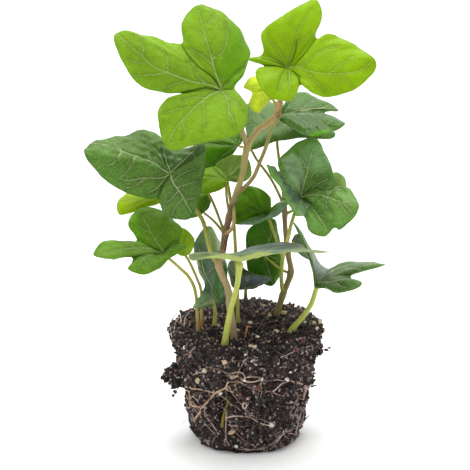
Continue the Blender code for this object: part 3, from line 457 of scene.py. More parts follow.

# The shades paint tones onto parts of the blades: some are a leaf's own tone, many are painted shade where a
# lobe faces away from the light and painted grey sheen where it faces the pale surround.
LEAF_DETAILS = {
    "leaf_crown_left": LeafDetail(
        veins=(
            (0.62, ((-6.5, 72), (-11.5, 74.5), (-23, 77), (-34, 81), (-41, 84), (-46.5, 89), (-55.5, 97),
                (-58, 100))), (0.36, ((-34, 81), (-34, 87), (-35.5, 90), (-37.5, 92.5))),
            (0.32, ((-34.5, 81), (-41, 80), (-52, 79.5))), (0.27, ((-44, 86.5), (-49.5, 86), (-53.5, 88))),
            (0.27, ((-23, 77), (-30.5, 75.5), (-34, 73.5))),
            (0.27, ((-15, 75.5), (-19, 79.5), (-22, 85), (-24.5, 86))),
            (0.27, ((-46.5, 89), (-46, 93.5), (-47.5, 97))),
            (0.62, ((-6.5, 72), (-10, 81), (-12, 88), (-15, 98.5), (-17.5, 108), (-18.5, 112.5))),
            (0.32, ((-11.5, 85), (-18, 90.5), (-23.5, 93.5))),
            (0.36, ((-12, 88), (-6.5, 91.5), (-4.5, 99.5), (-5.5, 105))),
            (0.27, ((-14.5, 96.5), (-19, 102), (-22, 103))),
            (0.27, ((-16.5, 104), (-12.5, 107), (-10.5, 109.5))), (0.32, ((-6.5, 73), (-1, 79), (4, 83.5))),
            (0.62, ((-6.5, 72), (-11.5, 70.5), (-16.5, 67), (-23, 61), (-29.5, 53.5), (-34, 45.5))),
            (0.36, ((-16.5, 67), (-15.5, 60), (-15, 53.5))), (0.32, ((-20, 64), (-29.5, 62.5), (-35, 61))),
            (0.32, ((-14, 68.5), (-22, 68.5), (-26.5, 66.5))),
            (0.27, ((-26.5, 57), (-25.5, 51.5), (-26.5, 47.5))),
            (0.47, ((-6.5, 72), (-4, 68), (-3, 61), (-3, 56.5))),
            (0.32, ((-4, 68), (0.5, 65.5), (4.5, 61))), (0.27, ((-3, 61), (-1, 57), (-0.5, 53.5))),
        ),
        folds=(
            ((-6.5, 72.5), (-11.5, 79), (-19, 84), (-23.5, 89), (-26.5, 94.5)),
            ((-6.5, 72), (-15, 73.5), (-26.5, 71.5)), ((-5.5, 72.5), (-1, 72.5)),
        ),
        shades=(
            # Painted shade: the right half of the top lobe darker, where it faces away from the light.
            Shade("4F8408", 0.55, ((-10, 82), (-6.5, 90), (-4, 99.5), (-2, 107), (2.5, 105), (7, 93.5),
                (4, 80), (-1, 73), (-5, 74))),
        ),
    ),
    "leaf_crown_right": LeafDetail(
        veins=(
            (0.55, ((27, 83.5), (28, 90), (30.5, 98.5), (33, 105), (37.5, 112.5))),
            (0.36, ((25.5, 84.5), (22, 91.5), (16.5, 98))), (0.27, ((29, 93.5), (34, 97), (37.5, 100.5))),
            (0.27, ((31, 99.5), (28, 105), (29, 109))),
            (0.55, ((27, 83.5), (32.5, 84), (36.5, 82), (47, 80), (61.5, 81.5), (68, 86))),
            (0.36, ((33, 84), (39.5, 89), (45.5, 92.5), (52, 94))),
            (0.32, ((35.5, 82), (40.5, 76.5), (45, 71.5))), (0.27, ((47, 80), (54, 85), (59.5, 89))),
            (0.27, ((52, 80.5), (56.5, 76.5), (58.5, 74.5))), (0.39, ((27, 83.5), (23, 78.5), (21, 71.5))),
            (0.39, ((27, 83.5), (27, 75.5), (27.5, 69.5))),
            (0.41, ((26.5, 83.5), (19.5, 87.5), (13.5, 89), (9, 88))),
        ),
        folds=(
            ((27, 84), (30.5, 91.5), (30, 97)), ((25, 84.5), (19.5, 86.5), (13.5, 87.5)),
            ((29.5, 84.5), (35.5, 91), (40.5, 98)), ((29, 81.5), (32, 78.5), (32.5, 74.5)),
        ),
        shades=(
            Shade("668A14", 0.5, ((7.5, 88), (13.5, 90), (23, 89), (26, 84), (19.5, 84.5), (11.5, 86))),
            Shade("6F9408", 0.5, ((25.5, 84), (27.5, 93.5), (31.5, 97), (33.5, 92.5), (30, 84.5))),
        ),
    ),
    "leaf_left_upper": LeafDetail(
        veins=(
            (0.7, ((-33, 30.5), (-41, 35), (-47.5, 37.5), (-57, 40.5), (-65, 44), (-71.5, 45.5))),
            (0.39, ((-34, 33), (-40, 42), (-45, 46), (-46.5, 49))),
            (0.43, ((-33, 30.5), (-37, 28.5), (-45, 28.5), (-53.5, 27.5), (-58, 28.5))),
            (0.32, ((-45, 28.5), (-49.5, 25), (-54.5, 23.5))),
            (0.32, ((-50.5, 38.5), (-53, 33.5), (-57, 29))), (0.27, ((-41, 35), (-45, 40), (-51.5, 43.5))),
            (0.27, ((-57, 40.5), (-61, 36), (-64, 35))), (0.27, ((-57, 40.5), (-60, 44), (-62, 46.5))),
            (0.36, ((-34, 29), (-40, 23), (-44, 21))), (0.39, ((-32.5, 31), (-34.5, 37), (-36, 42.5))),
            (0.39, ((-32, 31.5), (-25.5, 37), (-19, 43.5))),
            (0.62, ((-33, 30.5), (-30.5, 25), (-28, 21.5), (-24.5, 15), (-22, 11))),
            (0.36, ((-29.5, 23.5), (-24.5, 25), (-19, 26.5))),
            (0.36, ((-28.5, 22), (-32, 18), (-34.5, 16))), (0.32, ((-26.5, 18), (-30, 13.5), (-31.5, 9.5))),
            (0.32, ((-31, 27), (-26.5, 30.5), (-20.5, 33))), (0.27, ((-25.5, 17), (-22, 18), (-19, 18))),
        ),
        folds=(
            ((-33, 31), (-35.5, 36), (-37, 42.5)), ((-33, 29.5), (-36, 25.5), (-38.5, 18.5)),
            ((-32.5, 31), (-24.5, 36), (-16.5, 42)),
        ),
        shades=(
            Shade("3C5236", 0.6, ((-36.5, 44), (-26.5, 41), (-16, 45.5), (-16, 41.5), (-24.5, 36),
                (-32, 31.5), (-34.5, 36))),
            Shade("5E7C4A", 0.15, ((-31.5, 31), (-16.5, 40.5), (-16.5, 31.5), (-17.5, 12.5), (-23, 8),
                (-34, 8.5), (-38, 16), (-34, 26.5))),
            Shade("2C4C1C", 0.45, ((-53.5, 51.5), (-45, 51.5), (-37, 43), (-33.5, 32.5), (-40, 36),
                (-46.5, 45))),
        ),
    ),
    "leaf_right_large": LeafDetail(
        veins=(
            (0.62, ((32.5, 18.5), (34, 24.5), (35.5, 30), (37.5, 38.5), (39.5, 48))),
            (0.32, ((37.5, 38.5), (41, 40), (44.5, 40.5))),
            (0.32, ((38, 28.5), (39, 30.5), (42.5, 32.5), (46.5, 33))),
            (0.32, ((34.5, 26), (31, 30), (27.5, 31.5))), (0.32, ((36, 33), (33, 37), (31.5, 40.5))),
            (0.27, ((37.5, 38.5), (35.5, 41.5), (33.5, 44))),
            (0.27, ((36.5, 33.5), (32.5, 34), (24.5, 35.5))), (0.32, ((38.5, 41.5), (41.5, 44), (43, 46))),
            (0.39, ((33, 19), (37.5, 22), (41.5, 25.5), (46.5, 28))),
            (0.55, ((33, 18.5), (38.5, 19.5), (46.5, 18), (54, 15), (59, 11))),
            (0.36, ((46.5, 18), (48.5, 21.5), (52, 24))), (0.36, ((54, 15), (57, 16), (60.5, 15.5))),
            (0.32, ((52, 15.5), (55, 12), (57, 9.5))),
            (0.47, ((33, 18.5), (37.5, 15), (41.5, 9.5), (44.5, 5), (46, 1.5))),
            (0.32, ((41.5, 9.5), (44.5, 9.5), (47, 7.5))), (0.32, ((46.5, 18), (46, 14.5), (48.5, 9.5))),
            (0.36, ((32.5, 18.5), (27.5, 23), (23, 27.5), (18.5, 33))),
        ),
        folds=(
            ((33, 19), (37.5, 22), (40.5, 23.5), (43.5, 22), (47, 22), (50, 24.5), (50.5, 28)),
            ((32.5, 18), (38.5, 15.5), (36, 11.5), (34.5, 9)), ((23.5, 25.5), (27.5, 22), (32.5, 18.5)),
            ((32.5, 28), (32.5, 25), (33, 21.5)),
        ),
        shades=(
            Shade("30463A", 0.85, ((15, 36.5), (19, 34.5), (22, 30), (26.5, 24), (32.5, 18), (31, 14.5),
                (27.5, 15.5), (23, 24.5), (19, 30.5))),
            Shade("5A7352", 0.75, ((32.5, 18), (38.5, 15.5), (36, 11), (34.5, 9), (31, 10), (29, 14.5))),
            Shade("2C4A26", 0.45, ((37.5, 28), (46, 32), (49, 30), (50.5, 25.5), (46.5, 22.5),
                (41.5, 23.5))),
            # Painted sheen: the upper lobe paler and greyer towards its left.
            Shade("8AA482", 0.6, ((23, 37.5), (28.5, 40.5), (32.5, 37.5), (34, 27.5), (32.5, 20),
                (27, 25))),
            Shade("6E9468", 0.5, ((31, 40.5), (37.5, 46), (44.5, 45), (48.5, 37.5), (46.5, 32), (38.5, 30),
                (34, 35.5))),
            Shade("7DA052", 0.15, ((44.5, 15.5), (49.5, 20), (57, 21.5), (61.5, 15.5), (60.5, 9.5),
                (53, 4.5), (48.5, 7.5))),
        ),
    ),
    "leaf_right_folded": LeafDetail(
        veins=(
            (0.47, ((23, 60.5), (28, 65), (32.5, 66), (37.5, 65.5), (43, 63.5), (49, 61.5))),
            (0.41, ((23.5, 60.5), (27, 65.5), (32, 70.5))),
            (0.41, ((23.5, 60.5), (30.5, 61), (35.5, 62.5), (38.5, 65))),
            (0.55, ((23.5, 60), (29, 57), (33.5, 55.5), (38, 55), (44.5, 56.5), (54, 56))),
            (0.32, ((38, 55), (41.5, 58), (44.5, 60))), (0.32, ((38, 55), (39, 52), (38.5, 50.5))),
            (0.32, ((33.5, 55.5), (35, 58.5), (38.5, 60))),
        ),
        folds=(((23.5, 61), (28, 62.5), (37, 61.5), (44.5, 60.5)),),
        shades=(
            # Painted sheen: a pale grey band along the upper edge.
            Shade("A2AAA0", 0.55, ((32.5, 71.5), (37, 71), (44.5, 66.5), (52, 62.5), (51.5, 60),
                (46.5, 60.5), (42.5, 63.5), (37.5, 67.5))),
            Shade("4F8A0E", 0.5, ((23.5, 59.5), (28.5, 59), (32.5, 55.5), (29.5, 54.5), (25.5, 56.5))),
        ),
    ),
    "leaf_left_lower": LeafDetail(
        veins=(
            (0.55, ((-35.5, -9), (-40.5, -2.5), (-44, 3.5), (-47, 9.5))),
            (0.32, ((-40.5, -2.5), (-36, 2.5), (-35, 7.5))), (0.32, ((-42, 0), (-48.5, 3.5), (-51, 6.5))),
            (0.55, ((-35.5, -9.5), (-44, -7), (-53.5, -7.5), (-63, -9), (-69, -10.5))),
            (0.32, ((-49.5, -7.5), (-53.5, -4.5), (-58, -4))),
            (0.32, ((-46.5, -7), (-50.5, -9), (-55.5, -10))),
            (0.47, ((-35.5, -9.5), (-42, -11), (-46.5, -13.5), (-48.5, -17.5))),
            (0.32, ((-46, -13.5), (-43, -16.5), (-41, -17.5))),
            (0.32, ((-41, -10.5), (-48.5, -11.5), (-53, -13))),
            (0.41, ((-35.5, -9), (-31.5, -6.5), (-26.5, -4.5))),
        ),
        folds=(
            ((-36, -9), (-44, -5.5), (-49, -0.5), (-51, 5.5)), ((-35.5, -9), (-32, -4), (-27, -2)),
            ((-36.5, -10), (-44, -10), (-53, -11)),
        ),
        shades=(
            Shade("8CAC52", 0.2, ((-71, -11), (-64, -3.5), (-49.5, -2), (-44, -7), (-36, -9.5),
                (-53.5, -10.5), (-65, -12.5))),
            Shade("5E9A0C", 0.5, ((-53, 9.5), (-50, 9.5), (-48.5, 0.5), (-44, -4.5), (-49.5, -1.5))),
        ),
    ),
    "leaf_right_lower": LeafDetail(
        veins=(
            (0.62, ((41.5, -24), (48, -19), (54.5, -16), (64.5, -14.5), (73, -14.5))),
            (0.36, ((48, -19), (51, -14.5), (54.5, -13.5))),
            (0.36, ((54.5, -16), (58.5, -17.5), (63.5, -17.5))),
            (0.55, ((41.5, -24), (50, -23.5), (57.5, -22.5), (63, -23))),
            (0.32, ((50, -23.5), (53, -26), (56.5, -27))), (0.55, ((41.5, -24), (40, -17.5), (39, -11))),
            (0.36, ((40.5, -19.5), (43.5, -16.5), (46.5, -16))),
            (0.36, ((41, -22), (43.5, -21), (46, -18.5))),
        ),
        folds=(((42, -23.5), (45, -20.5), (47.5, -16)),),
        shades=(
            # Painted sheen: the folded wing by the joint grey.
            Shade("808C88", 0.7, ((38, -9.5), (47.5, -15.5), (45.5, -20.5), (41.5, -23.5), (38.5, -16.5))),
        ),
    ),
    "leaf_left_curled": LeafDetail(
        veins=(
            (0.47, ((-11, -32), (-12, -26), (-15, -19.5), (-17, -12.5), (-18.5, -5.5))),
            (0.32, ((-15, -19.5), (-11.5, -16.5), (-10, -12.5))),
            (0.32, ((-16, -16.5), (-18.5, -15.5), (-19.5, -13.5))),
            (0.32, ((-13, -23.5), (-15, -24), (-16.5, -23.5))),
            (0.36, ((-11, -32), (-7.5, -26), (-6.5, -18.5))),
            (0.32, ((-17, -12.5), (-14, -10), (-12.5, -6))), (0.39, ((-11.5, -32), (-15, -34), (-19, -36))),
        ),
        folds=(((-11.5, -30), (-10, -23.5), (-10.5, -15.5), (-13.5, -7)),),
        shades=(
            Shade("2E6A1A", 0.8, ((-10, -16.5), (-6.5, -13.5), (-4.5, -17.5), (-5, -32), (-9.5, -32.5),
                (-11.5, -27))),
            Shade("7E9660", 0.8, ((-15, 0.5), (-12.5, 4.5), (-7, 0.5), (-6.5, -9), (-11.5, -8),
                (-14.5, -4))),
            # Painted sheen: the glossy left half grey-blue.
            Shade("4E645C", 0.6, ((-20.5, -3.5), (-15, -5), (-10.5, -13.5), (-10.5, -26), (-14, -31),
                (-19, -13.5))),
        ),
    ),
    "leaf_centre_round": LeafDetail(
        folds=(((16.5, 11), (10, 9.5), (2, 6)),),
        shades=(
            # Painted sheen: the curled lobe grey-blue.
            Shade("566A62", 0.75, ((19, 12), (25, 16.5), (27.5, 15), (23, 9.5), (17.5, 7.5), (6, 4),
                (1, 5.5), (10, 8))),
        ),
    ),
    "leaf_right_upper": LeafDetail(
        shades=(
            Shade("315A11", 0.8, ((6.5, 65.5), (17.5, 63.5), (18.5, 53.5), (16.5, 47.5), (8.5, 42.5),
                (5.5, 47.5), (6, 58.5))),
            Shade("62676E", 0.85, ((19, 54.5), (24.5, 53.5), (31, 51), (36.5, 50), (33, 48.5), (27, 49.5),
                (19.5, 52.5))),
            Shade("4E8606", 0.9, ((32.5, 47.5), (40.5, 51), (46.5, 52.5), (50, 52), (49.5, 51), (46.5, 49),
                (40.5, 47.5), (35, 47))),
            # Painted highlight: a pale grey streak.
            Shade("9AA79C", 0.5, ((6, 59.5), (11.5, 59.5), (14, 56.5), (9, 55.5))),
            Shade("4A7A1E", 0.4, ((9, 50.5), (19.5, 52.5), (32.5, 49.5), (23, 46), (9, 43))),
        ),
    ),
    "leaf_back_low": LeafDetail(
        # Painted sheen: the middle of the leaf blue-grey.
        shades=(Shade("62727A", 0.8, ((2.5, -20), (18, -20.5), (18.5, -23), (4, -27), (2, -24))),),
    ),
    "leaf_right_small": LeafDetail(
        shades=(Shade("787A84", 0.6, ((27.5, 0), (32.5, -1.5), (36, -6.5), (38, -13.5), (33, -9.5))),),
    ),
    "leaf_front_level": LeafDetail(
        shades=(
            # Painted shade: the strip of upper face that shows is dark grey-green, though it faces the light
            # from above.
            Shade("526456", 0.95, ((-2, -10), (2.5, -7.5), (8.5, -6.5), (14.5, -5), (23, -3.5), (30, -4),
                (34.5, -5), (31.5, -7.5), (25, -8.5), (20, -9.5), (16, -8.5), (12, -8.5), (7.5, -10),
                (3, -11))),
        ),
    ),
}


class NodeBoard:
    """A node tree that is being laid out, of a material, a group or a modifier."""

    def __init__(self, tree: bpy.types.NodeTree) -> None:
        """Takes the tree to add nodes to."""
        self.tree = tree

    def feed(self, node: bpy.types.Node, inputs: dict) -> None:
        """Gives sockets of a node their values.

        Args:
            node: the node.
            inputs: what goes into its sockets, by name or number: a value or another node's socket.
        """
        for key, value in inputs.items():
            if isinstance(value, bpy.types.NodeSocket):
                self.tree.links.new(value, node.inputs[key])
            else:
                node.inputs[key].default_value = value

    def add(self, kind: str, inputs: dict | None = None, **settings: object) -> bpy.types.Node:
        """Adds a node.

        Args:
            kind: Blender's name of the node's type.
            inputs: what goes into its sockets, by name or number.
            settings: the node's own properties.

        Returns:
            The node.
        """
        node = self.tree.nodes.new(kind)
        for name, value in settings.items():
            setattr(node, name, value)
        self.feed(node, inputs or {})
        return node

    def mix(self, share: object, first: object, second: object) -> bpy.types.NodeSocket:
        """Mixes two colours, with a share of the second."""
        return self.add("ShaderNodeMix", {0: share, 6: first, 7: second}, data_type="RGBA").outputs[2]

    def lay(self, base: object, colour: object, mask: object, strength: float) -> bpy.types.NodeSocket:
        """Lays a colour over a base where a mask shows, as strongly as is said."""
        return self.mix(self.math("MULTIPLY", mask, strength), base, colour)

    def math(self, operation: str, *values: object, clamp: bool = False) -> bpy.types.NodeSocket:
        """A number worked out from values or sockets, held from 0 to 1 if clamp says so."""
        inputs = dict(enumerate(values))
        return self.add("ShaderNodeMath", inputs, operation=operation, use_clamp=clamp).outputs[0]

    def span(self, value: object, low: float, high: object, start: float = 0.0, end: float = 1.0) -> object:
        """Spreads values from low to high over those from start to end, smoothly and held at the ends."""
        inputs = {0: value, 1: low, 2: high, 3: start, 4: end}
        return self.add("ShaderNodeMapRange", inputs, interpolation_type="SMOOTHSTEP").outputs[0]

    def attribute(self, name: str) -> bpy.types.NodeSocket:
        """The numbers of a named attribute of the mesh."""
        return self.add("ShaderNodeAttribute", attribute_name=name).outputs["Fac"]

    def place(self) -> bpy.types.NodeSocket:
        """The places of the object itself, in metres."""
        return self.add("ShaderNodeTexCoord").outputs["Object"]

    def noise(self, place: object, scale: object, detail: float, roughness: float = 0.5) -> bpy.types.Node:
        """A noise over places."""
        inputs = {"Vector": place, "Scale": scale, "Detail": detail, "Roughness": roughness}
        return self.add("ShaderNodeTexNoise", inputs)

    def blotches(self, scale: float, mottling: float = 0.35) -> bpy.types.NodeSocket:
        """The shared blotches over the object's own places."""
        inputs = {"Place": self.place(), "Scale": scale, "Mottling": mottling}
        return self.add("ShaderNodeGroup", inputs, node_tree=bpy.data.node_groups["blotches"]).outputs[0]

    def bumps(self, height: object, strength: float, depth: float) -> bpy.types.NodeSocket:
        """The normals of a surface with fine bumps, their depth in metres."""
        inputs = {"Height": height, "Strength": strength, "Distance": depth}
        return self.add("ShaderNodeBump", inputs).outputs[0]

    def ramp(self, value: object, stops: tuple) -> bpy.types.NodeSocket:
        """A run of colours.

        Args:
            value: the socket to read, from 0 to 1.
            stops: pairs of place and colour code.

        Returns:
            The colour's socket.
        """
        node = self.add("ShaderNodeValToRGB", {0: value})
        elements = node.color_ramp.elements
        while len(elements) < len(stops):
            elements.new(1.0)
        for element, (position, code) in zip(elements, stops):
            element.position = position
            element.color = paint(code)
        return node.outputs[0]


def shader_group(name: str, inputs: tuple, masks: tuple) -> tuple[NodeBoard, bpy.types.Node, bpy.types.Node]:
    """Starts a shader node group.

    Args:
        name: the group's name.
        inputs: pairs of socket name and value, a number or a vector.
        masks: the names of the masks that come out.

    Returns:
        The group's board, and its input and output nodes.
    """
    tree = bpy.data.node_groups.new(name, "ShaderNodeTree")
    for label, value in inputs:
        kind = "NodeSocketVector" if isinstance(value, tuple) else "NodeSocketFloat"
        tree.interface.new_socket(label, in_out="INPUT", socket_type=kind).default_value = value
    for label in masks:
        tree.interface.new_socket(label, in_out="OUTPUT", socket_type="NodeSocketFloat")
    board = NodeBoard(tree)
    return board, board.add("NodeGroupInput"), board.add("NodeGroupOutput")


def blotches_group() -> bpy.types.NodeTree:
    """Soft blotches with finer mottling in them, for leaves, bark and peat.

    Returns:
        The group.
    """
    sockets = (("Place", (0.0, 0.0, 0.0)), ("Scale", 60.0), ("Mottling", 0.35))
    board, given, result = shader_group("blotches", sockets, ("Mask",))
    place, scale, mottling = given.outputs[0], given.outputs[1], given.outputs[2]
    wide = board.noise(place, scale, 2.0)
    fine = board.noise(place, board.math("MULTIPLY", scale, 6.0), 4.0)
    share = board.add("ShaderNodeMix", {0: mottling, 2: wide.outputs[0], 3: fine.outputs[0]})
    board.feed(result, {0: board.span(share.outputs[0], 0.36, 0.64)})
    return board.tree


def fine_veins_group() -> bpy.types.NodeTree:
    """The net of finest veins, which follows a leaf's own map.

    Returns:
        The group, which gives a mask and a height.
    """
    sockets = (("Map", (0.0, 0.0, 0.0)), ("Scale", 30.0), ("Width", 0.1))
    board, given, result = shader_group("fine_veins", sockets, ("Mask", "Height"))
    chart, scale, width = given.outputs[0], given.outputs[1], given.outputs[2]
    bent = board.noise(chart, 14.0, 1.0).outputs[1]
    shifted = board.add("ShaderNodeVectorMath", {0: bent, 1: (0.06, 0.06, 0.0)}, operation="MULTIPLY")
    place = board.add("ShaderNodeVectorMath", {0: chart, 1: shifted.outputs[0]}, operation="ADD")
    inputs = {"Vector": place.outputs[0], "Scale": scale}
    settings = {"feature": "DISTANCE_TO_EDGE", "voronoi_dimensions": "2D"}
    cells = board.add("ShaderNodeTexVoronoi", inputs, **settings).outputs[0]
    board.feed(result, {0: board.span(cells, 0.0, width, 1.0, 0.0), 1: board.span(cells, 0.0, 0.3)})
    return board.tree


def start_material(name: str) -> tuple[bpy.types.Material, NodeBoard, bpy.types.Node]:
    """Starts a material.

    Args:
        name: the material's name.

    Returns:
        The material, its board and its surface shader.
    """
    material = bpy.data.materials.new(name)
    material.use_nodes = True
    return material, NodeBoard(material.node_tree), material.node_tree.nodes["Principled BSDF"]


@dataclass(frozen=True)
class LeafFinish:
    """The looks of a kind of leaf: how its tones spread round the leaf's own, its veins, its gloss and the
    painted shade in its creases.
    """

    spread: float = 0.35
    patch_scale: float = 55.0
    vein_pale: str = "D8E2AE"
    vein_lift: float = 0.35
    vein_strength: float = 0.5
    vein_patch_scale: float = 170.0
    net_strength: float = 0.15
    net_scale: float = 26.0
    net_width: float = 0.13
    # Painted shade in the creases between lobes and along folds: how strongly it shows and how dark it is.
    crease_shade_strength: float = 0.45
    crease_shade_tone: float = 0.3
    margin_strength: float = 0.35
    margin_tone: float = 0.6
    roughness: float = 0.42
    specular: float = 0.22
    specular_tint: Colour = (0.6, 0.85, 0.15, 1.0)
    coat: float = 0.0
    speckles: float = 0.0
    speckle_scale: float = 1500.0
    crinkle_scale: float = 900.0
    crinkle_relief: float = 0.35
    crinkle_depth: float = 0.00018
    coat_roughness: float = 0.25
    glow_through: float = 0.12
    glow_depth: float = 0.0012
    glow_reach: Point = (0.5, 1.0, 0.15)
    under_dullness: float = 0.22
    under_vein: float = 0.8
    under_mottling: float = 0.3

    def vein_colour(self, tone: Colour) -> Colour:
        """The colour of the veins of a leaf of some tone."""
        return between(scaled(tone, 1.25), paint(self.vein_pale), self.vein_lift)

    def spread_tone(self, board: NodeBoard, share: object, tone: Colour) -> bpy.types.NodeSocket:
        """A tone made darker or lighter by a share from 0 to 1."""
        return board.mix(share, scaled(tone, 1 - self.spread), scaled(tone, 1 + self.spread))

    def vein_material(self, plan: LeafPlan, name: str) -> bpy.types.Material:
        """Builds the material of a leaf's veins.

        Args:
            plan: the leaf's plan.
            name: the leaf's name.

        Returns:
            The material, a little patchy so that the veins come and go.
        """
        material, board, surface = start_material(name + "_veins")
        tone = paint(plan.tone)
        patches = board.blotches(self.vein_patch_scale)
        board.feed(surface, {
            "Base Color": board.lay(self.vein_colour(tone), tone, patches, 0.6),
            "Roughness": 0.5,
            "Specular IOR Level": self.specular,
            "Specular Tint": self.specular_tint,
        })
        return material

    def material(self, plan: LeafPlan, name: str, shades: tuple) -> bpy.types.Material:
        """Builds a leaf's material.

        Args:
            plan: the leaf's plan.
            name: the leaf's name.
            shades: the parts of the blade painted in tones of their own, partly the leaf's own tone and
                partly painted shade and painted sheen.

        Returns:
            The material, which reads the blade's vein, crease, margin and side attributes and its map; the
            crease attribute is painted shade.
        """
        material, board, surface = start_material(name + "_tissue")
        tone, under_tone = paint(plan.tone), paint(plan.under)
        veins, under_veins = self.vein_colour(tone), between(under_tone, paint(self.vein_pale), 0.4)
        patches = board.blotches(self.patch_scale)
        chart = board.add("ShaderNodeUVMap", uv_map="Chart").outputs[0]
        inputs = {"Map": chart, "Scale": self.net_scale, "Width": self.net_width}
        net = board.add("ShaderNodeGroup", inputs, node_tree=bpy.data.node_groups["fine_veins"])
        vein, under = board.attribute("vein"), board.attribute("under")
        share = board.math("MULTIPLY_ADD", patches, 0.45, board.attribute("glow"), clamp=True)
        upper = self.spread_tone(board, share, tone)
        upper = board.lay(upper, veins, net.outputs[0], self.net_strength)
        margin_tone, crease_shade_tone = scaled(tone, self.margin_tone), scaled(tone, self.crease_shade_tone)
        upper = board.lay(upper, margin_tone, board.attribute("margin"), self.margin_strength)
        upper = board.lay(upper, veins, vein, self.vein_strength)
        # Painted shade: the creases and folds darkened.
        upper = board.lay(upper, crease_shade_tone, board.attribute("crease"), self.crease_shade_strength)
        if self.speckles:
            dots = board.noise(board.place(), self.speckle_scale, 1.0)
            dots = board.span(dots.outputs[0], 0.56, 0.64, 0.0, self.speckles)
            upper = board.mix(dots, upper, scaled(tone, 1 - self.spread))
        lower = board.lay(under_tone, scaled(under_tone, 0.75), patches, self.under_mottling)
        lower = board.lay(lower, under_veins, net.outputs[0], self.under_mottling)
        lower = board.lay(lower, under_veins, vein, self.under_vein)
        colour = board.mix(under, upper, lower)
        off_veins = board.math("MULTIPLY_ADD", vein, -0.7, 1.0)
        # Painted patches, partly the leaf's own tones and partly painted shade and painted sheen, laid over
        # the colour off the veins.
        for number, shade in enumerate(shades):
            own = self.spread_tone(board, share, paint(shade.tone))
            hold = board.math("MULTIPLY", off_veins, board.attribute(f"shade_{number}"))
            colour = board.lay(colour, own, hold, shade.strength)
        rough = board.math("MULTIPLY_ADD", patches, 0.1, self.roughness - 0.05)
        crinkle = board.noise(board.place(), self.crinkle_scale, 3.0)
        height = board.math("MULTIPLY_ADD", crinkle.outputs[0], 0.35, net.outputs[1])
        board.feed(surface, {
            "Base Color": colour,
            "Roughness": board.math("MULTIPLY_ADD", under, self.under_dullness, rough, clamp=True),
            "Normal": board.bumps(height, self.crinkle_relief, self.crinkle_depth),
            "Specular IOR Level": self.specular,
            "Specular Tint": self.specular_tint,
            "Coat Weight": self.coat,
            "Coat Roughness": self.coat_roughness,
            "Subsurface Weight": self.glow_through,
            "Subsurface Radius": self.glow_reach,
            "Subsurface Scale": self.glow_depth,
        })
        return material


@dataclass(frozen=True)
class RodFinish:
    """The looks of a stalk, stem or root: a run of colours from its top to its foot, and its skin."""

    name: str
    stops: tuple
    patch: str
    patch_strength: float = 0.35
    patch_scale: float = 160.0
    roughness: float = 0.5
    specular: float = 0.25
    skin_scale: float = 1400.0
    skin_height: float = 0.0001

    def material(self) -> bpy.types.Material:
        """Builds the material.

        Returns:
            The material, which reads how far along the rod a point lies.
        """
        material, board, surface = start_material(self.name)
        colour = board.ramp(board.attribute("along"), self.stops)
        spots = board.blotches(self.patch_scale, 0.5)
        skin = board.noise(board.place(), self.skin_scale, 4.0)
        board.feed(surface, {
            "Base Color": board.lay(colour, paint(self.patch), spots, self.patch_strength),
            "Roughness": self.roughness,
            "Specular IOR Level": self.specular,
            "Normal": board.bumps(skin.outputs[0], 0.5, self.skin_height),
        })
        return material


@dataclass(frozen=True)
class PeatFinish:
    """Moist peat: near-black brown with reddish and violet fibrous patches, and painted shade in its cracks
    and pits.
    """

    name: str = "moist_peat"
    dark: str = "0B0807"
    brown: str = "3B302C"
    reddish: str = "6A4438"
    violet: str = "857A7A"
    # The near-black of the painted shade in cracks and pits, and of the clods' darker tone.
    black: str = "060403"
    clod_scale: float = 260.0
    zone_scale: float = 90.0
    fleck_scale: float = 700.0
    fleck_strength: float = 0.75
    crack_shade_strength: float = 0.85
    roughness: float = 0.82
    specular: float = 0.35
    relief: float = 0.9
    relief_depth: float = 0.0005

    def material(self) -> bpy.types.Material:
        """Builds the material.

        Returns:
            The material, which reads the painted shade of the cracks and pits and the clods' darker tone.
        """
        material, board, surface = start_material(self.name)
        clods = board.blotches(self.clod_scale, 0.6)
        zones = board.blotches(self.zone_scale, 0.4)
        flecks = board.noise(board.place(), self.fleck_scale, 5.0, 0.7).outputs[0]
        base = board.mix(clods, paint(self.dark), paint(self.brown))
        tint = board.mix(zones, paint(self.reddish), paint(self.violet))
        base = board.lay(base, tint, board.span(flecks, 0.5, 0.66), self.fleck_strength)
        board.feed(surface, {
            # Painted shade: cracks and pits near black; the clods darker all over.
            "Base Color": board.lay(base, paint(self.black), board.attribute("hollow"), self.crack_shade_strength),
            "Roughness": self.roughness,
            "Specular IOR Level": self.specular,
            "Normal": board.bumps(flecks, self.relief, self.relief_depth),
        })
        return material


@dataclass(frozen=True)
class BitFinish:
    """The looks of the bits in the peat: a run of colours over which each bit's own tone is spread."""

    name: str
    stops: tuple
    spot_scale: float = 500.0
    grain_scale: float = 1800.0
    grain_relief: float = 0.6
    grain_depth: float = 0.0003
    roughness: float = 0.8

    def material(self) -> bpy.types.Material:
        """Builds the material.

        Returns:
            The material, which reads each bit's tone.
        """
        material, board, surface = start_material(self.name)
        spots = board.blotches(self.spot_scale)
        tone = board.math("MULTIPLY_ADD", spots, 0.25, board.attribute("tone"), clamp=True)
        grain = board.noise(board.place(), self.grain_scale, 3.0)
        board.feed(surface, {
            "Base Color": board.ramp(tone, self.stops),
            "Roughness": self.roughness,
            "Normal": board.bumps(grain.outputs[0], self.grain_relief, self.grain_depth),
        })
        return material


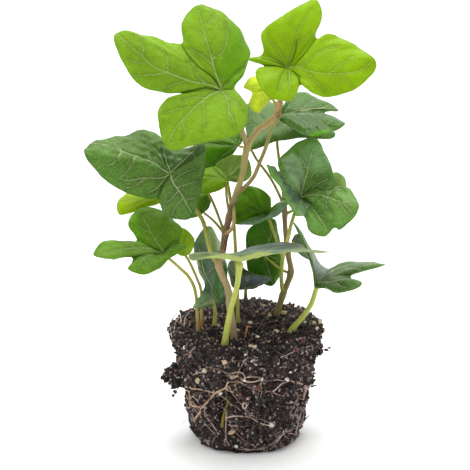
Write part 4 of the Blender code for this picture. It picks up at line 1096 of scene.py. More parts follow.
LEAF_FINISHES = {
    Foliage.CROWN: LeafFinish(vein_lift=0.4, vein_strength=0.6, crease_shade_strength=0.75),
    Foliage.SUNLIT: LeafFinish(spread=0.25, vein_lift=0.3, vein_strength=0.3, crease_shade_strength=0.6),
    Foliage.YOUNG: LeafFinish(
        spread=0.3, vein_lift=0.2, vein_strength=0.3, crease_shade_strength=0.25, speckles=0.35,
    ),
    Foliage.VEINED: LeafFinish(
        spread=0.5, vein_lift=0.6, vein_strength=0.7, crease_shade_strength=0.75, margin_strength=0.5,
        roughness=0.34, coat=0.06,
    ),
    Foliage.MIDDLE: LeafFinish(vein_strength=0.6),
    Foliage.DEEP: LeafFinish(
        spread=0.45, vein_lift=0.3, vein_strength=0.45, net_strength=0.1, margin_strength=0.5,
        roughness=0.34, coat=0.1,
    ),
    Foliage.WAXY: LeafFinish(
        spread=0.5, vein_lift=0.7, vein_strength=0.6, margin_strength=0.5, net_strength=0.12,
        roughness=0.32, specular=0.3, specular_tint=(0.7, 0.9, 0.45, 1.0), coat=0.05,
    ),
    Foliage.SAGE: LeafFinish(vein_lift=0.4, specular_tint=(0.75, 0.9, 0.6, 1.0)),
}

STALK_GREEN = RodFinish("stalk_green", ((0.0, "A3A040"), (0.55, "9A983C"), (1.0, "848838")), "C4C872", 0.3)
STALK_RUSTY = RodFinish("stalk_rusty_foot", (
    (0.0, "A3A040"), (0.6, "9A983C"), (0.8, "9E8042"), (0.9, "A8764C"), (1.0, "8A5C38"),
), "C4B882", 0.3)
STALK_BRIGHT = RodFinish("stalk_bright_green", (
    (0.0, "B2BC58"), (0.5, "A8B048"), (0.85, "949A3C"), (1.0, "62642C"),
), "C9D07A")
STALK_RUDDY = RodFinish("stalk_ruddy", (
    (0.0, "A0A058"), (0.4, "A49C5C"), (0.8, "A48E5E"), (1.0, "9A7A58"),
), "C4B880", 0.4)
BARK_PINK = RodFinish("bark_pinkish_brown", (
    (0.0, "7C7248"), (0.12, "8E7C60"), (0.3, "9A8C62"), (0.44, "967A5C"), (0.5, "5E3E30"), (0.6, "644636"),
    (0.66, "8A6E50"), (0.7, "5C463C"), (0.74, "9C8E5E"), (0.85, "B2A764"), (1.0, "B48C5C"),
), "C2AC80", 0.3, roughness=0.55, skin_height=0.0002)
BARK_BROWN = RodFinish("bark_reddish_brown", (
    (0.0, "75723A"), (0.25, "7E7642"), (0.6, "84724C"), (1.0, "927A5C"),
), "AC986C", 0.3, roughness=0.55, skin_height=0.0002)
ROOT_TAN = RodFinish("root_tan", (
    (0.0, "C4A88A"), (0.5, "BA9C7E"), (1.0, "CDB9A2"),
), "96765C", 0.4, 300.0, roughness=0.7, skin_height=0.0002)
ROOT_PALE = RodFinish("root_pale", (
    (0.0, "CDB9AC"), (0.5, "BCA396"), (1.0, "D4C4BA"),
), "8C7264", 0.45, 260.0, roughness=0.7)
FIBRE_RUSTY = RodFinish("fibre_rusty", (
    (0.0, "5A4640"), (0.5, "8E7870"), (1.0, "B0A098"),
), "2A1E1A", 0.6, 120.0, roughness=0.8)
FIBRE_DARK = RodFinish("fibre_dark", ((0.0, "5A464C"), (1.0, "6E5C5E")), "2A1E20", roughness=0.8)
BARK_KNOT = RodFinish("bark_knot", ((0.0, "7A6440"), (1.0, "8E7650")), "5A4630")
BARK_AMBER = RodFinish("bark_amber", ((0.0, "96581E"), (1.0, "4E2A10")), "C08A48", 0.5)
STALK_BURIED = RodFinish("stalk_buried", ((0.0, "86782A"), (0.5, "746C24"), (1.0, "3A3618")), "4A3C1A")
PEAT_CRUMBS = BitFinish("peat_crumbs", (
    (0.0, "080605"), (0.5, "181210"), (0.76, "463A37"), (0.9, "8E827E"), (0.965, "CABEBA"), (1.0, "86584A"),
))
BARK_CHIPS = BitFinish("bark_chips", ((0.0, "6E4E3A"), (0.4, "96785E"), (0.7, "C8AE8C"), (1.0, "F0E0C4")))
WHITE_BITS = BitFinish("white_bits", ((0.0, "B8ACA0"), (0.5, "DAD2C8"), (1.0, "F6F2EC")))
REDDISH_BITS = BitFinish("reddish_bits", ((0.0, "3E2420"), (0.5, "5E3A34"), (1.0, "785048")))
STALK_FINISHES = {
    "leaf_left_lower": STALK_RUSTY,
    "leaf_left_back": STALK_RUSTY,
    "leaf_crown_left": STALK_RUDDY,
    "leaf_crown_right": STALK_RUDDY,
    "leaf_right_upper": STALK_RUDDY,
    "leaf_front_level": STALK_BRIGHT,
    "leaf_right_lower": STALK_BRIGHT,
    "leaf_right_large": STALK_BRIGHT,
}


def geometry_tree(name: str, inputs: tuple) -> tuple[NodeBoard, bpy.types.Node]:
    """Starts a geometry node tree, whose last input is a material.

    Args:
        name: the tree's name.
        inputs: triples of input name, socket type and value, after the geometry itself.

    Returns:
        The tree's board and its input node.
    """
    tree = bpy.data.node_groups.new(name, "GeometryNodeTree")
    tree.interface.new_socket("Geometry", in_out="INPUT", socket_type="NodeSocketGeometry")
    for label, kind, value in inputs:
        tree.interface.new_socket(label, in_out="INPUT", socket_type=kind).default_value = value
    tree.interface.new_socket("Material", in_out="INPUT", socket_type="NodeSocketMaterial")
    tree.interface.new_socket("Geometry", in_out="OUTPUT", socket_type="NodeSocketGeometry")
    board = NodeBoard(tree)
    return board, board.add("NodeGroupInput")


def finish_tree(board: NodeBoard, given: bpy.types.Node, geometry: object) -> bpy.types.NodeTree:
    """Ends a geometry node tree with real, dressed geometry.

    Args:
        board: the tree's board.
        given: the tree's input node.
        geometry: the socket of what was made.

    Returns:
        The tree.
    """
    whole = board.add("GeometryNodeRealizeInstances", {"Geometry": geometry})
    inputs = {"Geometry": whole.outputs[0], "Material": given.outputs["Material"]}
    dressed = board.add("GeometryNodeSetMaterial", inputs)
    board.add("NodeGroupOutput", {"Geometry": dressed.outputs[0]})
    return board.tree


def rod_tree() -> bpy.types.NodeTree:
    """Round rods along the edges of a mesh, as thick as its girth attribute says, with an uneven skin.

    Returns:
        The tree.
    """
    board, given = geometry_tree("rods", (
        ("Sides", "NodeSocketInt", 12),
        ("Unevenness", "NodeSocketFloat", 0.0001),
        ("Unevenness scale", "NodeSocketFloat", 300.0),
    ))
    curve = board.add("GeometryNodeMeshToCurve", {"Mesh": given.outputs[0]})
    girth = board.add("GeometryNodeInputNamedAttribute", {"Name": "girth"}, data_type="FLOAT")
    inputs = {"Resolution": given.outputs["Sides"], "Radius": 1.0}
    ring = board.add("GeometryNodeCurvePrimitiveCircle", inputs)
    rod = board.add("GeometryNodeCurveToMesh", {
        "Curve": curve.outputs[0],
        "Profile Curve": ring.outputs[0],
        "Scale": girth.outputs[0],
        "Fill Caps": True,
    })
    rough = board.add("ShaderNodeTexNoise", {"Scale": given.outputs["Unevenness scale"], "Detail": 2.0})
    lift = board.math("SUBTRACT", rough.outputs[0], 0.5)
    lift = board.math("MULTIPLY", lift, given.outputs["Unevenness"])
    normal = board.add("GeometryNodeInputNormal")
    shift = board.add("ShaderNodeVectorMath", {0: normal.outputs[0], "Scale": lift}, operation="SCALE")
    uneven = board.add("GeometryNodeSetPosition", {"Geometry": rod.outputs[0], "Offset": shift.outputs[0]})
    smooth = board.add("GeometryNodeSetShadeSmooth", {"Geometry": uneven.outputs[0]})
    return finish_tree(board, given, smooth.outputs[0])


def bits_tree() -> bpy.types.NodeTree:
    """Angular bits strewn over a surface, each with its own size, turn and tone.

    Returns:
        The tree.
    """
    board, given = geometry_tree("bits", (
        ("Density", "NodeSocketFloat", 100000.0),
        ("Smallest", "NodeSocketFloat", 0.0004),
        ("Largest", "NodeSocketFloat", 0.0012),
        ("Flatness", "NodeSocketFloat", 0.5),
        ("Seed", "NodeSocketInt", 1),
    ))
    seed = given.outputs["Seed"]
    inputs = {"Mesh": given.outputs[0], "Density": given.outputs["Density"], "Seed": seed}
    points = board.add("GeometryNodeDistributePointsOnFaces", inputs)
    inputs = {2: given.outputs["Smallest"], 3: given.outputs["Largest"], "Seed": seed}
    size = board.add("FunctionNodeRandomValue", inputs)
    inputs = {0: (0.0, 0.0, 0.0), 1: (math.tau, math.tau, math.tau), "Seed": seed}
    turn = board.add("FunctionNodeRandomValue", inputs, data_type="FLOAT_VECTOR")
    width = board.add("FunctionNodeRandomValue", {2: 0.45, 3: 0.95, "Seed": 3})
    shape = board.add("ShaderNodeCombineXYZ", {0: 1.0, 1: width.outputs[1], 2: given.outputs["Flatness"]})
    inputs = {0: shape.outputs[0], "Scale": size.outputs[1]}
    scale = board.add("ShaderNodeVectorMath", inputs, operation="SCALE")
    bit = board.add("GeometryNodeMeshIcoSphere", {"Radius": 1.0, "Subdivisions": 1})
    turn_to = board.add("FunctionNodeEulerToRotation", {0: turn.outputs[0]})
    strewn = board.add("GeometryNodeInstanceOnPoints", {
        "Points": points.outputs["Points"],
        "Instance": bit.outputs[0],
        "Rotation": turn_to.outputs[0],
        "Scale": scale.outputs[0],
    })
    tone = board.add("FunctionNodeRandomValue", {2: 0.0, 3: 0.9, "Seed": 7})
    inputs = {"Geometry": strewn.outputs[0], "Name": "tone", "Value": tone.outputs[1]}
    toned = board.add("GeometryNodeStoreNamedAttribute", inputs, data_type="FLOAT", domain="INSTANCE")
    return finish_tree(board, given, toned.outputs[0])


def grow(obj: bpy.types.Object, tree_name: str, values: dict) -> bpy.types.Object:
    """Runs a geometry node tree on an object and makes the result its own plain mesh.

    Args:
        obj: the object that the tree reads.
        tree_name: the tree's name.
        values: the tree's inputs by name.

    Returns:
        The object.
    """
    modifier = obj.modifiers.new("Growth", "NODES")
    tree = bpy.data.node_groups[tree_name]
    modifier.node_group = tree
    for item in tree.interface.items_tree:
        if item.item_type == "SOCKET" and item.in_out == "INPUT" and item.name in values:
            modifier[item.identifier] = values[item.name]
    bpy.context.view_layer.update()
    graph = bpy.context.evaluated_depsgraph_get()
    mesh = bpy.data.meshes.new_from_object(obj.evaluated_get(graph))
    obj.modifiers.clear()
    obj.data = mesh
    return obj


def new_object(name: str, data: bpy.types.ID) -> bpy.types.Object:
    """Puts a mesh, a lamp or a camera in the scene as an object.

    Args:
        name: the object's name.
        data: what it shows.

    Returns:
        The object.
    """
    obj = bpy.data.objects.new(name, data)
    bpy.context.scene.collection.objects.link(obj)
    return obj


def mesh_of(name: str, data: bmesh.types.BMesh) -> bpy.types.Mesh:
    """Turns faces under edit into a mesh.

    Args:
        name: the mesh's name.
        data: the faces, which are given up.

    Returns:
        The mesh.
    """
    mesh = bpy.data.meshes.new(name)
    data.to_mesh(mesh)
    data.free()
    return mesh


def store(mesh: bpy.types.Mesh, name: str, values: np.ndarray) -> None:
    """Keeps a number for each point of a mesh under a name."""
    layer = mesh.attributes.new(name, "FLOAT", "POINT")
    layer.data.foreach_set("value", np.asarray(values, np.float32))


def present(piece: bpy.types.Object, slot: Slot, *nodes: str) -> None:
    """Hangs a piece under the root body, hides the parts that it stands for, and logs it.

    Args:
        piece: the finished piece.
        slot: the record's material slot; not used.
        nodes: the nodes that it stands for.
    """
    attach(piece, "root")
    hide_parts(*nodes)
    LOG.info("%s: %d faces, for %s", piece.name, len(piece.data.polygons), ", ".join(nodes))


def level_way(place: Vector) -> Vector:
    """The level direction from the middle of the root ball to a place."""
    return Vector((place.x, place.y, 0)).normalized()


def smooth_path(points: list, step: float) -> np.ndarray:
    """Places about a step apart on a smooth curve through points.

    Args:
        points: the points.
        step: the distance between places.

    Returns:
        The places, one a row.
    """
    ends = [np.array(point, float) for point in points]
    before = [2 * ends[0] - ends[1], *ends[:-1]]
    after = [*ends[1:], 2 * ends[-1] - ends[-2]]
    path = []
    for index in range(len(ends) - 1):
        start, end = ends[index], ends[index + 1]
        leaving = (end - before[index]) / 2
        arriving = (after[index + 1] - start) / 2
        count = max(1, round(float(np.linalg.norm(end - start)) / step))
        for number in range(count):
            t = number / count
            place = start * (2 * t**3 - 3 * t**2 + 1) + leaving * (t**3 - 2 * t**2 + t)
            path.append(place + end * (3 * t**2 - 2 * t**3) + arriving * (t**3 - t**2))
    path.append(ends[-1])
    return np.array(path)


@dataclass
class Rods:
    """Rods that grow together as one piece, each a path with a girth at every place."""

    name: str
    sides: int = 12
    unevenness: float = 0.1
    unevenness_size: float = 3.0
    paths: list = field(default_factory=list)

    def add(self, path: np.ndarray, girths: np.ndarray, start: float = 0.0) -> None:
        """Adds a rod: its places, its radius at each, and where in the finish's run of colours it starts."""
        self.paths.append((path, girths, start))

    def build(self, material: bpy.types.Material) -> bpy.types.Object:
        """Makes the rods.

        Args:
            material: their finish.

        Returns:
            The piece.
        """
        places, girths, along, edges = [], [], [], []
        for path, radii, first in self.paths:
            start = sum(len(part) for part in places)
            places.append(path)
            girths.append(radii)
            along.append(np.linspace(first, 1, len(path)))
            edges += [(start + index, start + index + 1) for index in range(len(path) - 1)]
        mesh = bpy.data.meshes.new(self.name)
        mesh.from_pydata(np.concatenate(places) * MILLIMETRE, edges, [])
        store(mesh, "girth", np.concatenate(girths) * MILLIMETRE)
        store(mesh, "along", np.concatenate(along))
        return grow(new_object(self.name, mesh), "rods", {
            "Sides": self.sides,
            "Unevenness": self.unevenness * MILLIMETRE,
            "Unevenness scale": 1 / (self.unevenness_size * MILLIMETRE),
            "Material": material,
        })


@dataclass
class VeinTree:
    """A leaf's veins in its flattened chart, as an angle round the joint and a distance from it."""

    angles: np.ndarray
    reaches: np.ndarray
    tips: list
    seed: int
    main_width: float = 0.8
    main_taper: float = 0.75
    main_sway: float = 0.5
    main_waves: float = 1.6 * math.pi
    tip_share: float = 0.98
    side_width: float = 0.36
    side_taper: float = 0.4
    side_spacing: float = 11.0
    side_angle: float = math.radians(44.0)
    side_bend: float = 0.6
    last_side: float = 0.88
    fork_length: float = 7.0
    fork_turn: float = 1.5
    step: float = 0.9
    margin_stop: float = 0.96
    overlap: float = 0.03
    wide_lobe: float = 1.2
    basal_turn: float = 0.55
    basal_bow: float = 0.12
    basal_length: float = 0.9
    end_angle: float = 0.2
    veins: list = field(default_factory=list)

    def reach(self, angle: float) -> float:
        """How far the blade goes from the joint in a direction of the chart."""
        return float(np.interp(angle, self.angles, self.reaches))

    def run(self, lobe: tuple, start: tuple, turn: float, bend: float, length: float, width: float) -> list:
        """Lays one side vein, which bends as it goes and stops near the margin or its lobe's bounds.

        Args:
            lobe: the angle of its lobe's main vein, and the lobe's lowest and highest angle.
            start: where it leaves, along the main vein and beside it.
            turn: its first direction from the main vein's.
            bend: how its direction turns over its length.
            length: the most that it may run.
            width: its width where it leaves.

        Returns:
            Its places along and beside the main vein.
        """
        middle, low, high = lobe
        along, beside = start
        places = [start]
        count = max(2, int(length / self.step))
        for index in range(count):
            heading = turn + bend * index / count
            along += self.step * math.cos(heading)
            beside += self.step * math.sin(heading)
            angle = middle + math.atan2(beside, along)
            if math.hypot(along, beside) > self.margin_stop * self.reach(angle) or not low < angle < high:
                break
            places.append((along, beside))
        if len(places) > 2:
            self.keep(middle, places, np.linspace(width, width * self.side_taper, len(places)))
        return places

    def keep(self, middle: float, places: list, widths: np.ndarray) -> None:
        """Keeps a vein, its places turned into angles and distances.

        Args:
            middle: the angle of its lobe's main vein.
            places: its places along and beside that vein.
            widths: its width at each place.
        """
        points = np.array(places)
        angles = middle + np.arctan2(points[:, 1], points[:, 0])
        self.veins.append((angles, np.hypot(points[:, 0], points[:, 1]), widths))

    def grow(self) -> None:
        """Lays every vein: a main one in each lobe, side veins off it, and forks off those."""
        draw = random.Random(self.seed)
        ordered = sorted(self.tips)
        limits = self.limits()
        longest = max(length for _, length in ordered)
        for number, (angle, length) in enumerate(ordered):
            size = (length / longest) ** 0.5
            lobe = (angle, limits[number] - self.overlap, limits[number + 1] + self.overlap)
            sway = draw.uniform(-self.main_sway, self.main_sway)
            shares = np.linspace(0.0, self.tip_share, max(4, int(length / self.step)))
            widths = self.main_width * size * (1 - self.main_taper * shares)
            self.keep(angle, list(zip(shares * length, sway * np.sin(shares * self.main_waves))), widths)
            for limit in lobe[1:]:
                if abs(limit - angle) > self.wide_lobe:
                    aside = angle + self.basal_turn * (limit - angle)
                    bow = math.copysign(self.basal_bow, limit - angle) * np.sin(shares * math.pi)
                    length_out = self.basal_length * self.reach(aside)
                    self.veins.append((aside + bow, shares * length_out, 0.75 * widths))
            offset = draw.uniform(0.1, 0.2) * length
            side = draw.choice((1, -1))
            while offset < self.last_side * length:
                turn = self.side_angle * draw.uniform(0.85, 1.2) * side
                width = self.side_width * size * (1 - 0.45 * offset / length)
                start = (offset, sway * math.sin(offset / length * self.main_waves))
                bend = -self.side_bend * side
                vein = self.run(lobe, start, turn, bend, 0.95 * (length - offset) + 5.0, width)
                if len(vein) > 10:
                    fork = vein[int(len(vein) * draw.uniform(0.4, 0.6))]
                    self.run(lobe, fork, turn * self.fork_turn, bend, self.fork_length, width * 0.6)
                side = -side
                offset += self.side_spacing * draw.uniform(0.4, 0.7) * (0.5 + 0.5 * size)

    def limits(self) -> list:
        """The angles between the lobes, where the blade reaches least.

        Returns:
            The angles, with one past each end of the edge.
        """
        found = [self.angles[0] - self.end_angle]
        ordered = sorted(self.tips)
        for (first, _), (second, _) in zip(ordered, ordered[1:]):
            inside = (self.angles > first) & (self.angles < second)
            low = np.argmin(np.where(inside, self.reaches, np.inf))
            found.append(float(self.angles[low]))
        return [*found, self.angles[-1] + self.end_angle]

    def segments(self) -> np.ndarray:
        """The stretches of the veins in the chart, one a row: start, end and width.

        Returns:
            A row for each stretch.
        """
        rows = []
        for angles, distances, widths in self.veins:
            places = np.stack((np.cos(angles), np.sin(angles)), axis=1) * distances[:, None]
            rows.append(np.concatenate((places[:-1], places[1:], widths[:-1, None]), axis=1))
        return np.concatenate(rows)


FAR_AWAY = 99.0
FULL_VEIN_WIDTH = 0.5
VEIN_SOFTNESS = 0.62


def distance_to_segments(places: np.ndarray, segments: np.ndarray) -> tuple[np.ndarray, np.ndarray]:
    """How near places of a chart lie to veins.

    Args:
        places: the places, one a row.
        segments: the veins' stretches.

    Returns:
        How strongly a vein shows at each place, and the distance to the nearest vein.
    """
    strength = np.zeros(len(places))
    nearest = np.full(len(places), FAR_AWAY)
    for x, y, end_x, end_y, width in segments:
        run = np.array((end_x - x, end_y - y))
        share = np.clip(((places - (x, y)) @ run) / max(run @ run, 1e-9), 0, 1)
        distance = np.hypot(places[:, 0] - x - share * run[0], places[:, 1] - y - share * run[1])
        nearest = np.minimum(nearest, distance)
        shown = min(1.0, width / FULL_VEIN_WIDTH) * np.exp(-((distance / (width * VEIN_SOFTNESS)) ** 2))
        strength = np.maximum(strength, shown)
    return strength, nearest


def stretches(lines: tuple, width: float) -> np.ndarray:
    """The straight stretches of lines of the front view, one a row: start, end and width."""
    return np.array([(*start, *end, width) for line in lines for start, end in zip(line, line[1:])])


def share_inside(places: np.ndarray, shade: Shade) -> np.ndarray:
    """How far inside a shade's soft outline places of the front view lie.

    Args:
        places: the places, one a row.
        shade: the shade.

    Returns:
        A share for each place, from 0 outside to 1 inside.
    """
    closed = (*shade.area, shade.area[0])
    _, distance = distance_to_segments(places, stretches((closed,), 1.0))
    inside = np.zeros(len(places), bool)
    for (x, y), (end_x, end_y) in zip(closed, closed[1:]):
        if y != end_y:
            crosses = (y > places[:, 1]) != (end_y > places[:, 1])
            inside ^= crosses & (places[:, 0] < x + (places[:, 1] - y) * (end_x - x) / (end_y - y))
    share = np.clip(0.5 + np.where(inside, distance, -distance) / shade.softness, 0, 1)
    return share * share * (3 - 2 * share)


def between_places(grid: np.ndarray, rows: np.ndarray, columns: np.ndarray) -> np.ndarray:
    """The values of a grid of vectors between its rows and columns.

    Args:
        grid: the vectors by row and column.
        rows: the rows, with fractions.
        columns: the columns, with fractions.

    Returns:
        A vector for each pair.
    """
    row, column = rows.astype(int), columns.astype(int)
    next_row = np.minimum(row + 1, grid.shape[0] - 1)
    next_column = np.minimum(column + 1, grid.shape[1] - 1)
    down, across = (rows - row)[:, None], (columns - column)[:, None]
    near = grid[row, column] * (1 - across) + grid[row, next_column] * across
    far = grid[next_row, column] * (1 - across) + grid[next_row, next_column] * across
    return near * (1 - down) + far * down


class BladeFan:
    """A blade's places on rays from its joint to its edge, in rings, and the flattened chart of them."""

    def __init__(self, joint: np.ndarray, edge: np.ndarray, arch: float, ring_spacing: float) -> None:
        """Lays the places out.

        Args:
            joint: where the rays start.
            edge: the places of the edge.
            arch: how far the blade bows up between joint and edge, as a share of that distance.
            ring_spacing: the mean distance between rings.
        """
        arms = edge - joint
        self.reaches = np.linalg.norm(arms, axis=1)
        unit = arms / self.reaches[:, None]
        turns = np.arccos(np.clip(np.sum(unit * np.roll(unit, -1, axis=0), axis=1), -1, 1))
        self.angles = np.concatenate(([0.0], np.cumsum(turns[:-1])))
        rings = max(8, math.ceil(float(self.reaches.mean()) / ring_spacing))
        self.shape = len(edge), rings
        self.shares = ((np.arange(rings) + 1) / rings) ** 0.92
        self.distances = self.reaches[:, None] * self.shares[None, :]
        self.inwards = self.reaches[:, None] * (1 - self.shares)[None, :]
        normal = -np.sum(np.cross(arms, np.roll(arms, -1, axis=0)), axis=0)
        self.normal = normal / np.linalg.norm(normal)
        bow = arch * self.reaches[:, None] * (4 * self.shares * (1 - self.shares))[None, :]
        self.grid = joint + arms[:, None, :] * self.shares[None, :, None] + self.normal * bow[:, :, None]
        self.normals = self.smooth_normals()
        rays = np.stack((np.cos(self.angles), np.sin(self.angles)), axis=1)[:, None, :]
        self.chart = (rays * self.distances[:, :, None]).reshape(-1, 2)

    def smooth_normals(self) -> np.ndarray:
        """Smooth directions out of the upper face, one for each place.

        Returns:
            A direction for each place.
        """
        round_edge = np.roll(self.grid, -1, axis=0) - np.roll(self.grid, 1, axis=0)
        normals = unit_rows(np.cross(round_edge, np.gradient(self.grid, axis=1)))
        normals[np.sum(normals * self.normal, axis=2) < 0] *= -1
        for _ in range(4):
            normals = unit_rows(normals + np.roll(normals, 1, axis=0) + np.roll(normals, -1, axis=0))
        return normals


def unit_rows(vectors: np.ndarray) -> np.ndarray:
    """Vectors made as long as one, over the last axis."""
    return vectors / np.maximum(np.linalg.norm(vectors, axis=-1, keepdims=True), 1e-9)


@dataclass
class Leaf:
    """A lobed ivy leaf: its blade with veins, quilting, margin and thickness, and its stalk."""

    name: str
    plan: LeafPlan
    detail: LeafDetail
    edge_spacing: float = 0.75
    scallop: float = 0.28
    scallop_size: float = 2.6
    fold_width: float = 0.8
    fold_depth: float = 0.7
    ring_spacing: float = 0.62
    depth_limit: float = 8.0
    thickness: float = 0.5
    quilt: float = 0.3
    groove: float = 0.18
    rib: float = 0.3
    wave: float = 0.5
    wave_length: float = 13.0
    puff: float = 2.8
    crease_shade_width: float = 0.5
    lobe_angle: float = 0.6
    least_lobe: float = 0.3
    vein_proud: float = 0.07
    joint_zone: float = 1.5
    seen_taper: float = 0.35
    lobe_roundness: float = 1.4
    folded_crease_shade: float = 0.4
    crinkle_count: int = 12
    crinkle_sizes: Point = (2.6, 7.0)
    chart_size: float = 50.0
    full_size: float = 30.0
    margin_fade: float = 3.0
    joint_fade: float = 4.0
    margin_width: float = 0.8
    margin_thinning: float = 0.6
    quilt_width: float = 1.5
    glow_width: float = 1.2
    foot_flare: float = 0.3
    flare_length: float = 4.0
    stalk_step: float = 1.2
    rooting: float = 6.0

    def joint(self) -> np.ndarray:
        """Where the stalk meets the blade."""
        return np.array(VIEW.place(*self.plan.joint))

    def edge_places(self) -> list[np.ndarray]:
        """The real places of the points of the blade's edge.

        Returns:
            The places, in the order of the plan.
        """
        joint = self.joint()
        edge = self.plan.edge
        count = len(edge)
        fixed = {index: np.array(VIEW.place(*point)) for index, point in enumerate(edge) if len(point) == 3}
        places = []
        for index, point in enumerate(edge):
            if index in fixed:
                places.append(fixed[index])
                continue
            steps_back = next(step for step in range(1, count) if (index - step) % count in fixed)
            steps_on = next(step for step in range(1, count) if (index + step) % count in fixed)
            before = fixed[(index - steps_back) % count]
            after = fixed[(index + steps_on) % count]
            middle = before[1] + (after[1] - before[1]) * steps_back / (steps_back + steps_on)
            eye, ray = np.array(VIEW.eye), np.array(VIEW.ray(*point))
            normal = np.cross(before - joint, after - joint)
            back = eye[1] + ray[1] * (normal @ (joint - eye)) / (normal @ ray)
            back = float(np.clip(back, middle - self.depth_limit, middle + self.depth_limit))
            places.append(np.array(VIEW.place(*point, back)))
        return places

    def outline(self) -> tuple[np.ndarray, list]:
        """The blade's edge as a smooth closed curve, from its place nearest the joint.

        Returns:
            Its places, and which of them are the points of the plan.
        """
        points = self.edge_places()
        count = len(points)
        places, marks = [], []
        for index in range(count):
            before, start, end, after = (points[(index + step) % count] for step in (-1, 0, 1, 2))
            steps = max(2, math.ceil(float(np.linalg.norm(end - start)) / self.edge_spacing))
            marks.append(len(places))
            for number in range(steps):
                t = number / steps
                place = start + (end - before) * t / 2
                place = place + (2 * before - 5 * start + 4 * end - after) * t**2 / 2
                places.append(place + (3 * start - before - 3 * end + after) * t**3 / 2)
        joint = self.joint()
        places = np.array(places)
        arms = (places - joint) / np.linalg.norm(places - joint, axis=1)[:, None]
        notches = np.array([noise.noise(Vector(place) / self.scallop_size) for place in places])
        places = places + arms * (self.scallop * notches)[:, None]
        first = int(np.argmin(np.linalg.norm(places - joint, axis=1)))
        return np.roll(places, -first, axis=0), sorted((mark - first) % len(places) for mark in marks)

    def seen_veins(self, seen: np.ndarray, fan: BladeFan) -> list:
        """The veins that the front view shows, laid into the chart.

        Args:
            seen: where the view shows the places of the blade.
            fan: the blade's places.

        Returns:
            The angles, distances and widths of each vein.
        """
        angles, distances = np.repeat(fan.angles, fan.shape[1]), fan.distances.ravel()
        veins = []
        for width, line in self.detail.veins:
            path = smooth_path([(*point, 0.0) for point in line], VeinTree.step)[:, :2]
            turns, reaches = [], []
            for place in path:
                away = np.sum((seen - place) ** 2, axis=1)
                near = np.argpartition(away, 4)[:4]
                weights = 1 / (away[near] + 0.02)
                turns.append(float(angles[near] @ weights / weights.sum()))
                reaches.append(float(distances[near] @ weights / weights.sum()))
            turns, reaches = np.array(turns), np.array(reaches)
            turns[reaches < self.joint_zone] = turns[reaches >= self.joint_zone][0]
            veins.append((turns, reaches, np.linspace(width, width * self.seen_taper, len(path))))
        return veins

    def vein_tree(self, angles: np.ndarray, reaches: np.ndarray, marks: list) -> VeinTree:
        """The veins: a main one to the tip of each lobe, which is a mark farther out than those beside it.

        Args:
            angles: the chart's angle at each place of the edge.
            reaches: the distance from the joint to each place of the edge.
            marks: which places are points of the plan.

        Returns:
            The leaf's veins.
        """
        tips = []
        least = self.least_lobe * reaches.max()
        for number, mark in enumerate(marks):
            before, after = marks[number - 1], marks[(number + 1) % len(marks)]
            if reaches[mark] >= max(reaches[before], reaches[after]) and reaches[mark] > least:
                tip = (float(angles[mark]), float(reaches[mark]))
                if tips and tip[0] - tips[-1][0] < self.lobe_angle:
                    tips[-1] = max(tips[-1], tip, key=lambda found: found[1])
                else:
                    tips.append(tip)
        if len(tips) < 2:
            best = int(np.argmax(reaches))
            tips.append((float(angles[best]) + self.lobe_angle, float(reaches[best]) * 0.7))
        tree = VeinTree(angles, reaches, tips, seed=len(self.name) + len(marks))
        if not self.detail.veins:
            tree.grow()
        return tree

    def lobe_relief(self, angles: np.ndarray, tree: VeinTree) -> np.ndarray:
        """How far each direction of the chart is from the creases between lobes, from 0 in a crease to 1.

        Args:
            angles: the directions.
            tree: the leaf's veins.

        Returns:
            A share for each direction.
        """
        limits = tree.limits()
        relief = np.zeros(len(angles))
        for (angle, _), low, high in zip(sorted(tree.tips), limits, limits[1:]):
            away = angles - angle
            side = np.where(away < 0, -away / (angle - low), away / (high - angle))
            inside = (angles >= low) & (angles <= high)
            relief = np.where(inside, 1 - np.clip(side, 0, 1) ** self.lobe_roundness, relief)
        return relief

    def creases(self, tree: VeinTree, distances: np.ndarray) -> np.ndarray:
        """How strongly painted shade shows in the creases between the lobes at places this far from the
        joint.

        Args:
            tree: the leaf's veins.
            distances: the distance of each place from the joint.

        Returns:
            A share for each place.
        """
        crease = np.zeros(distances.shape)
        for angle in tree.limits()[1:-1]:
            aside = np.abs(tree.angles - angle)[:, None] * distances
            crease = np.maximum(crease, np.exp(-((aside / self.crease_shade_width) ** 2)))
        return crease * (self.folded_crease_shade if self.detail.folds else 1.0)

    def swelling(self, fan: BladeFan, edge: np.ndarray, tree: VeinTree) -> np.ndarray:
        """The blade's large unevenness: its wavy margin, and lobes that swell between their creases.

        Args:
            fan: the blade's places.
            edge: the places of its edge.
            tree: the leaf's veins.

        Returns:
            How far each place lies off the plain blade.
        """
        along = np.cumsum(np.linalg.norm(edge - np.roll(edge, 1, axis=0), axis=1))
        waves = along[-1] / max(3, round(along[-1] / self.wave_length))
        ripple = self.wave * np.sin(math.tau * along / waves)[:, None] * fan.shares[None, :] ** 4
        size = min(1.0, float(fan.reaches.max()) / self.full_size)
        rise = fan.shares ** 0.7 * (1 - fan.shares ** 3)
        lobes = self.puff * size * self.lobe_relief(fan.angles, tree)[:, None] * rise[None, :]
        return self.plan.relief * (ripple + lobes)

    def vein_rods(self, tree: VeinTree, fan: BladeFan, upper: np.ndarray) -> Rods:
        """The pale veins that lie in the upper face.

        Args:
            tree: the leaf's veins.
            fan: the blade's places.
            upper: the upper face's places.

        Returns:
            The veins' rods.
        """
        rods = Rods(self.name + "_veins", sides=6, unevenness=0.0)
        count, rings = fan.shape
        for angles, distances, widths in tree.veins:
            turn = np.interp(angles, fan.angles, np.arange(count))
            reach = np.interp(angles, fan.angles, fan.reaches)
            ring = np.interp(distances / reach, fan.shares, np.arange(rings))
            girths = widths / 2
            depth = (self.vein_proud - girths)[:, None]
            path = between_places(upper, turn, ring) + between_places(fan.normals, turn, ring) * depth
            rods.add(path, girths)
        return rods

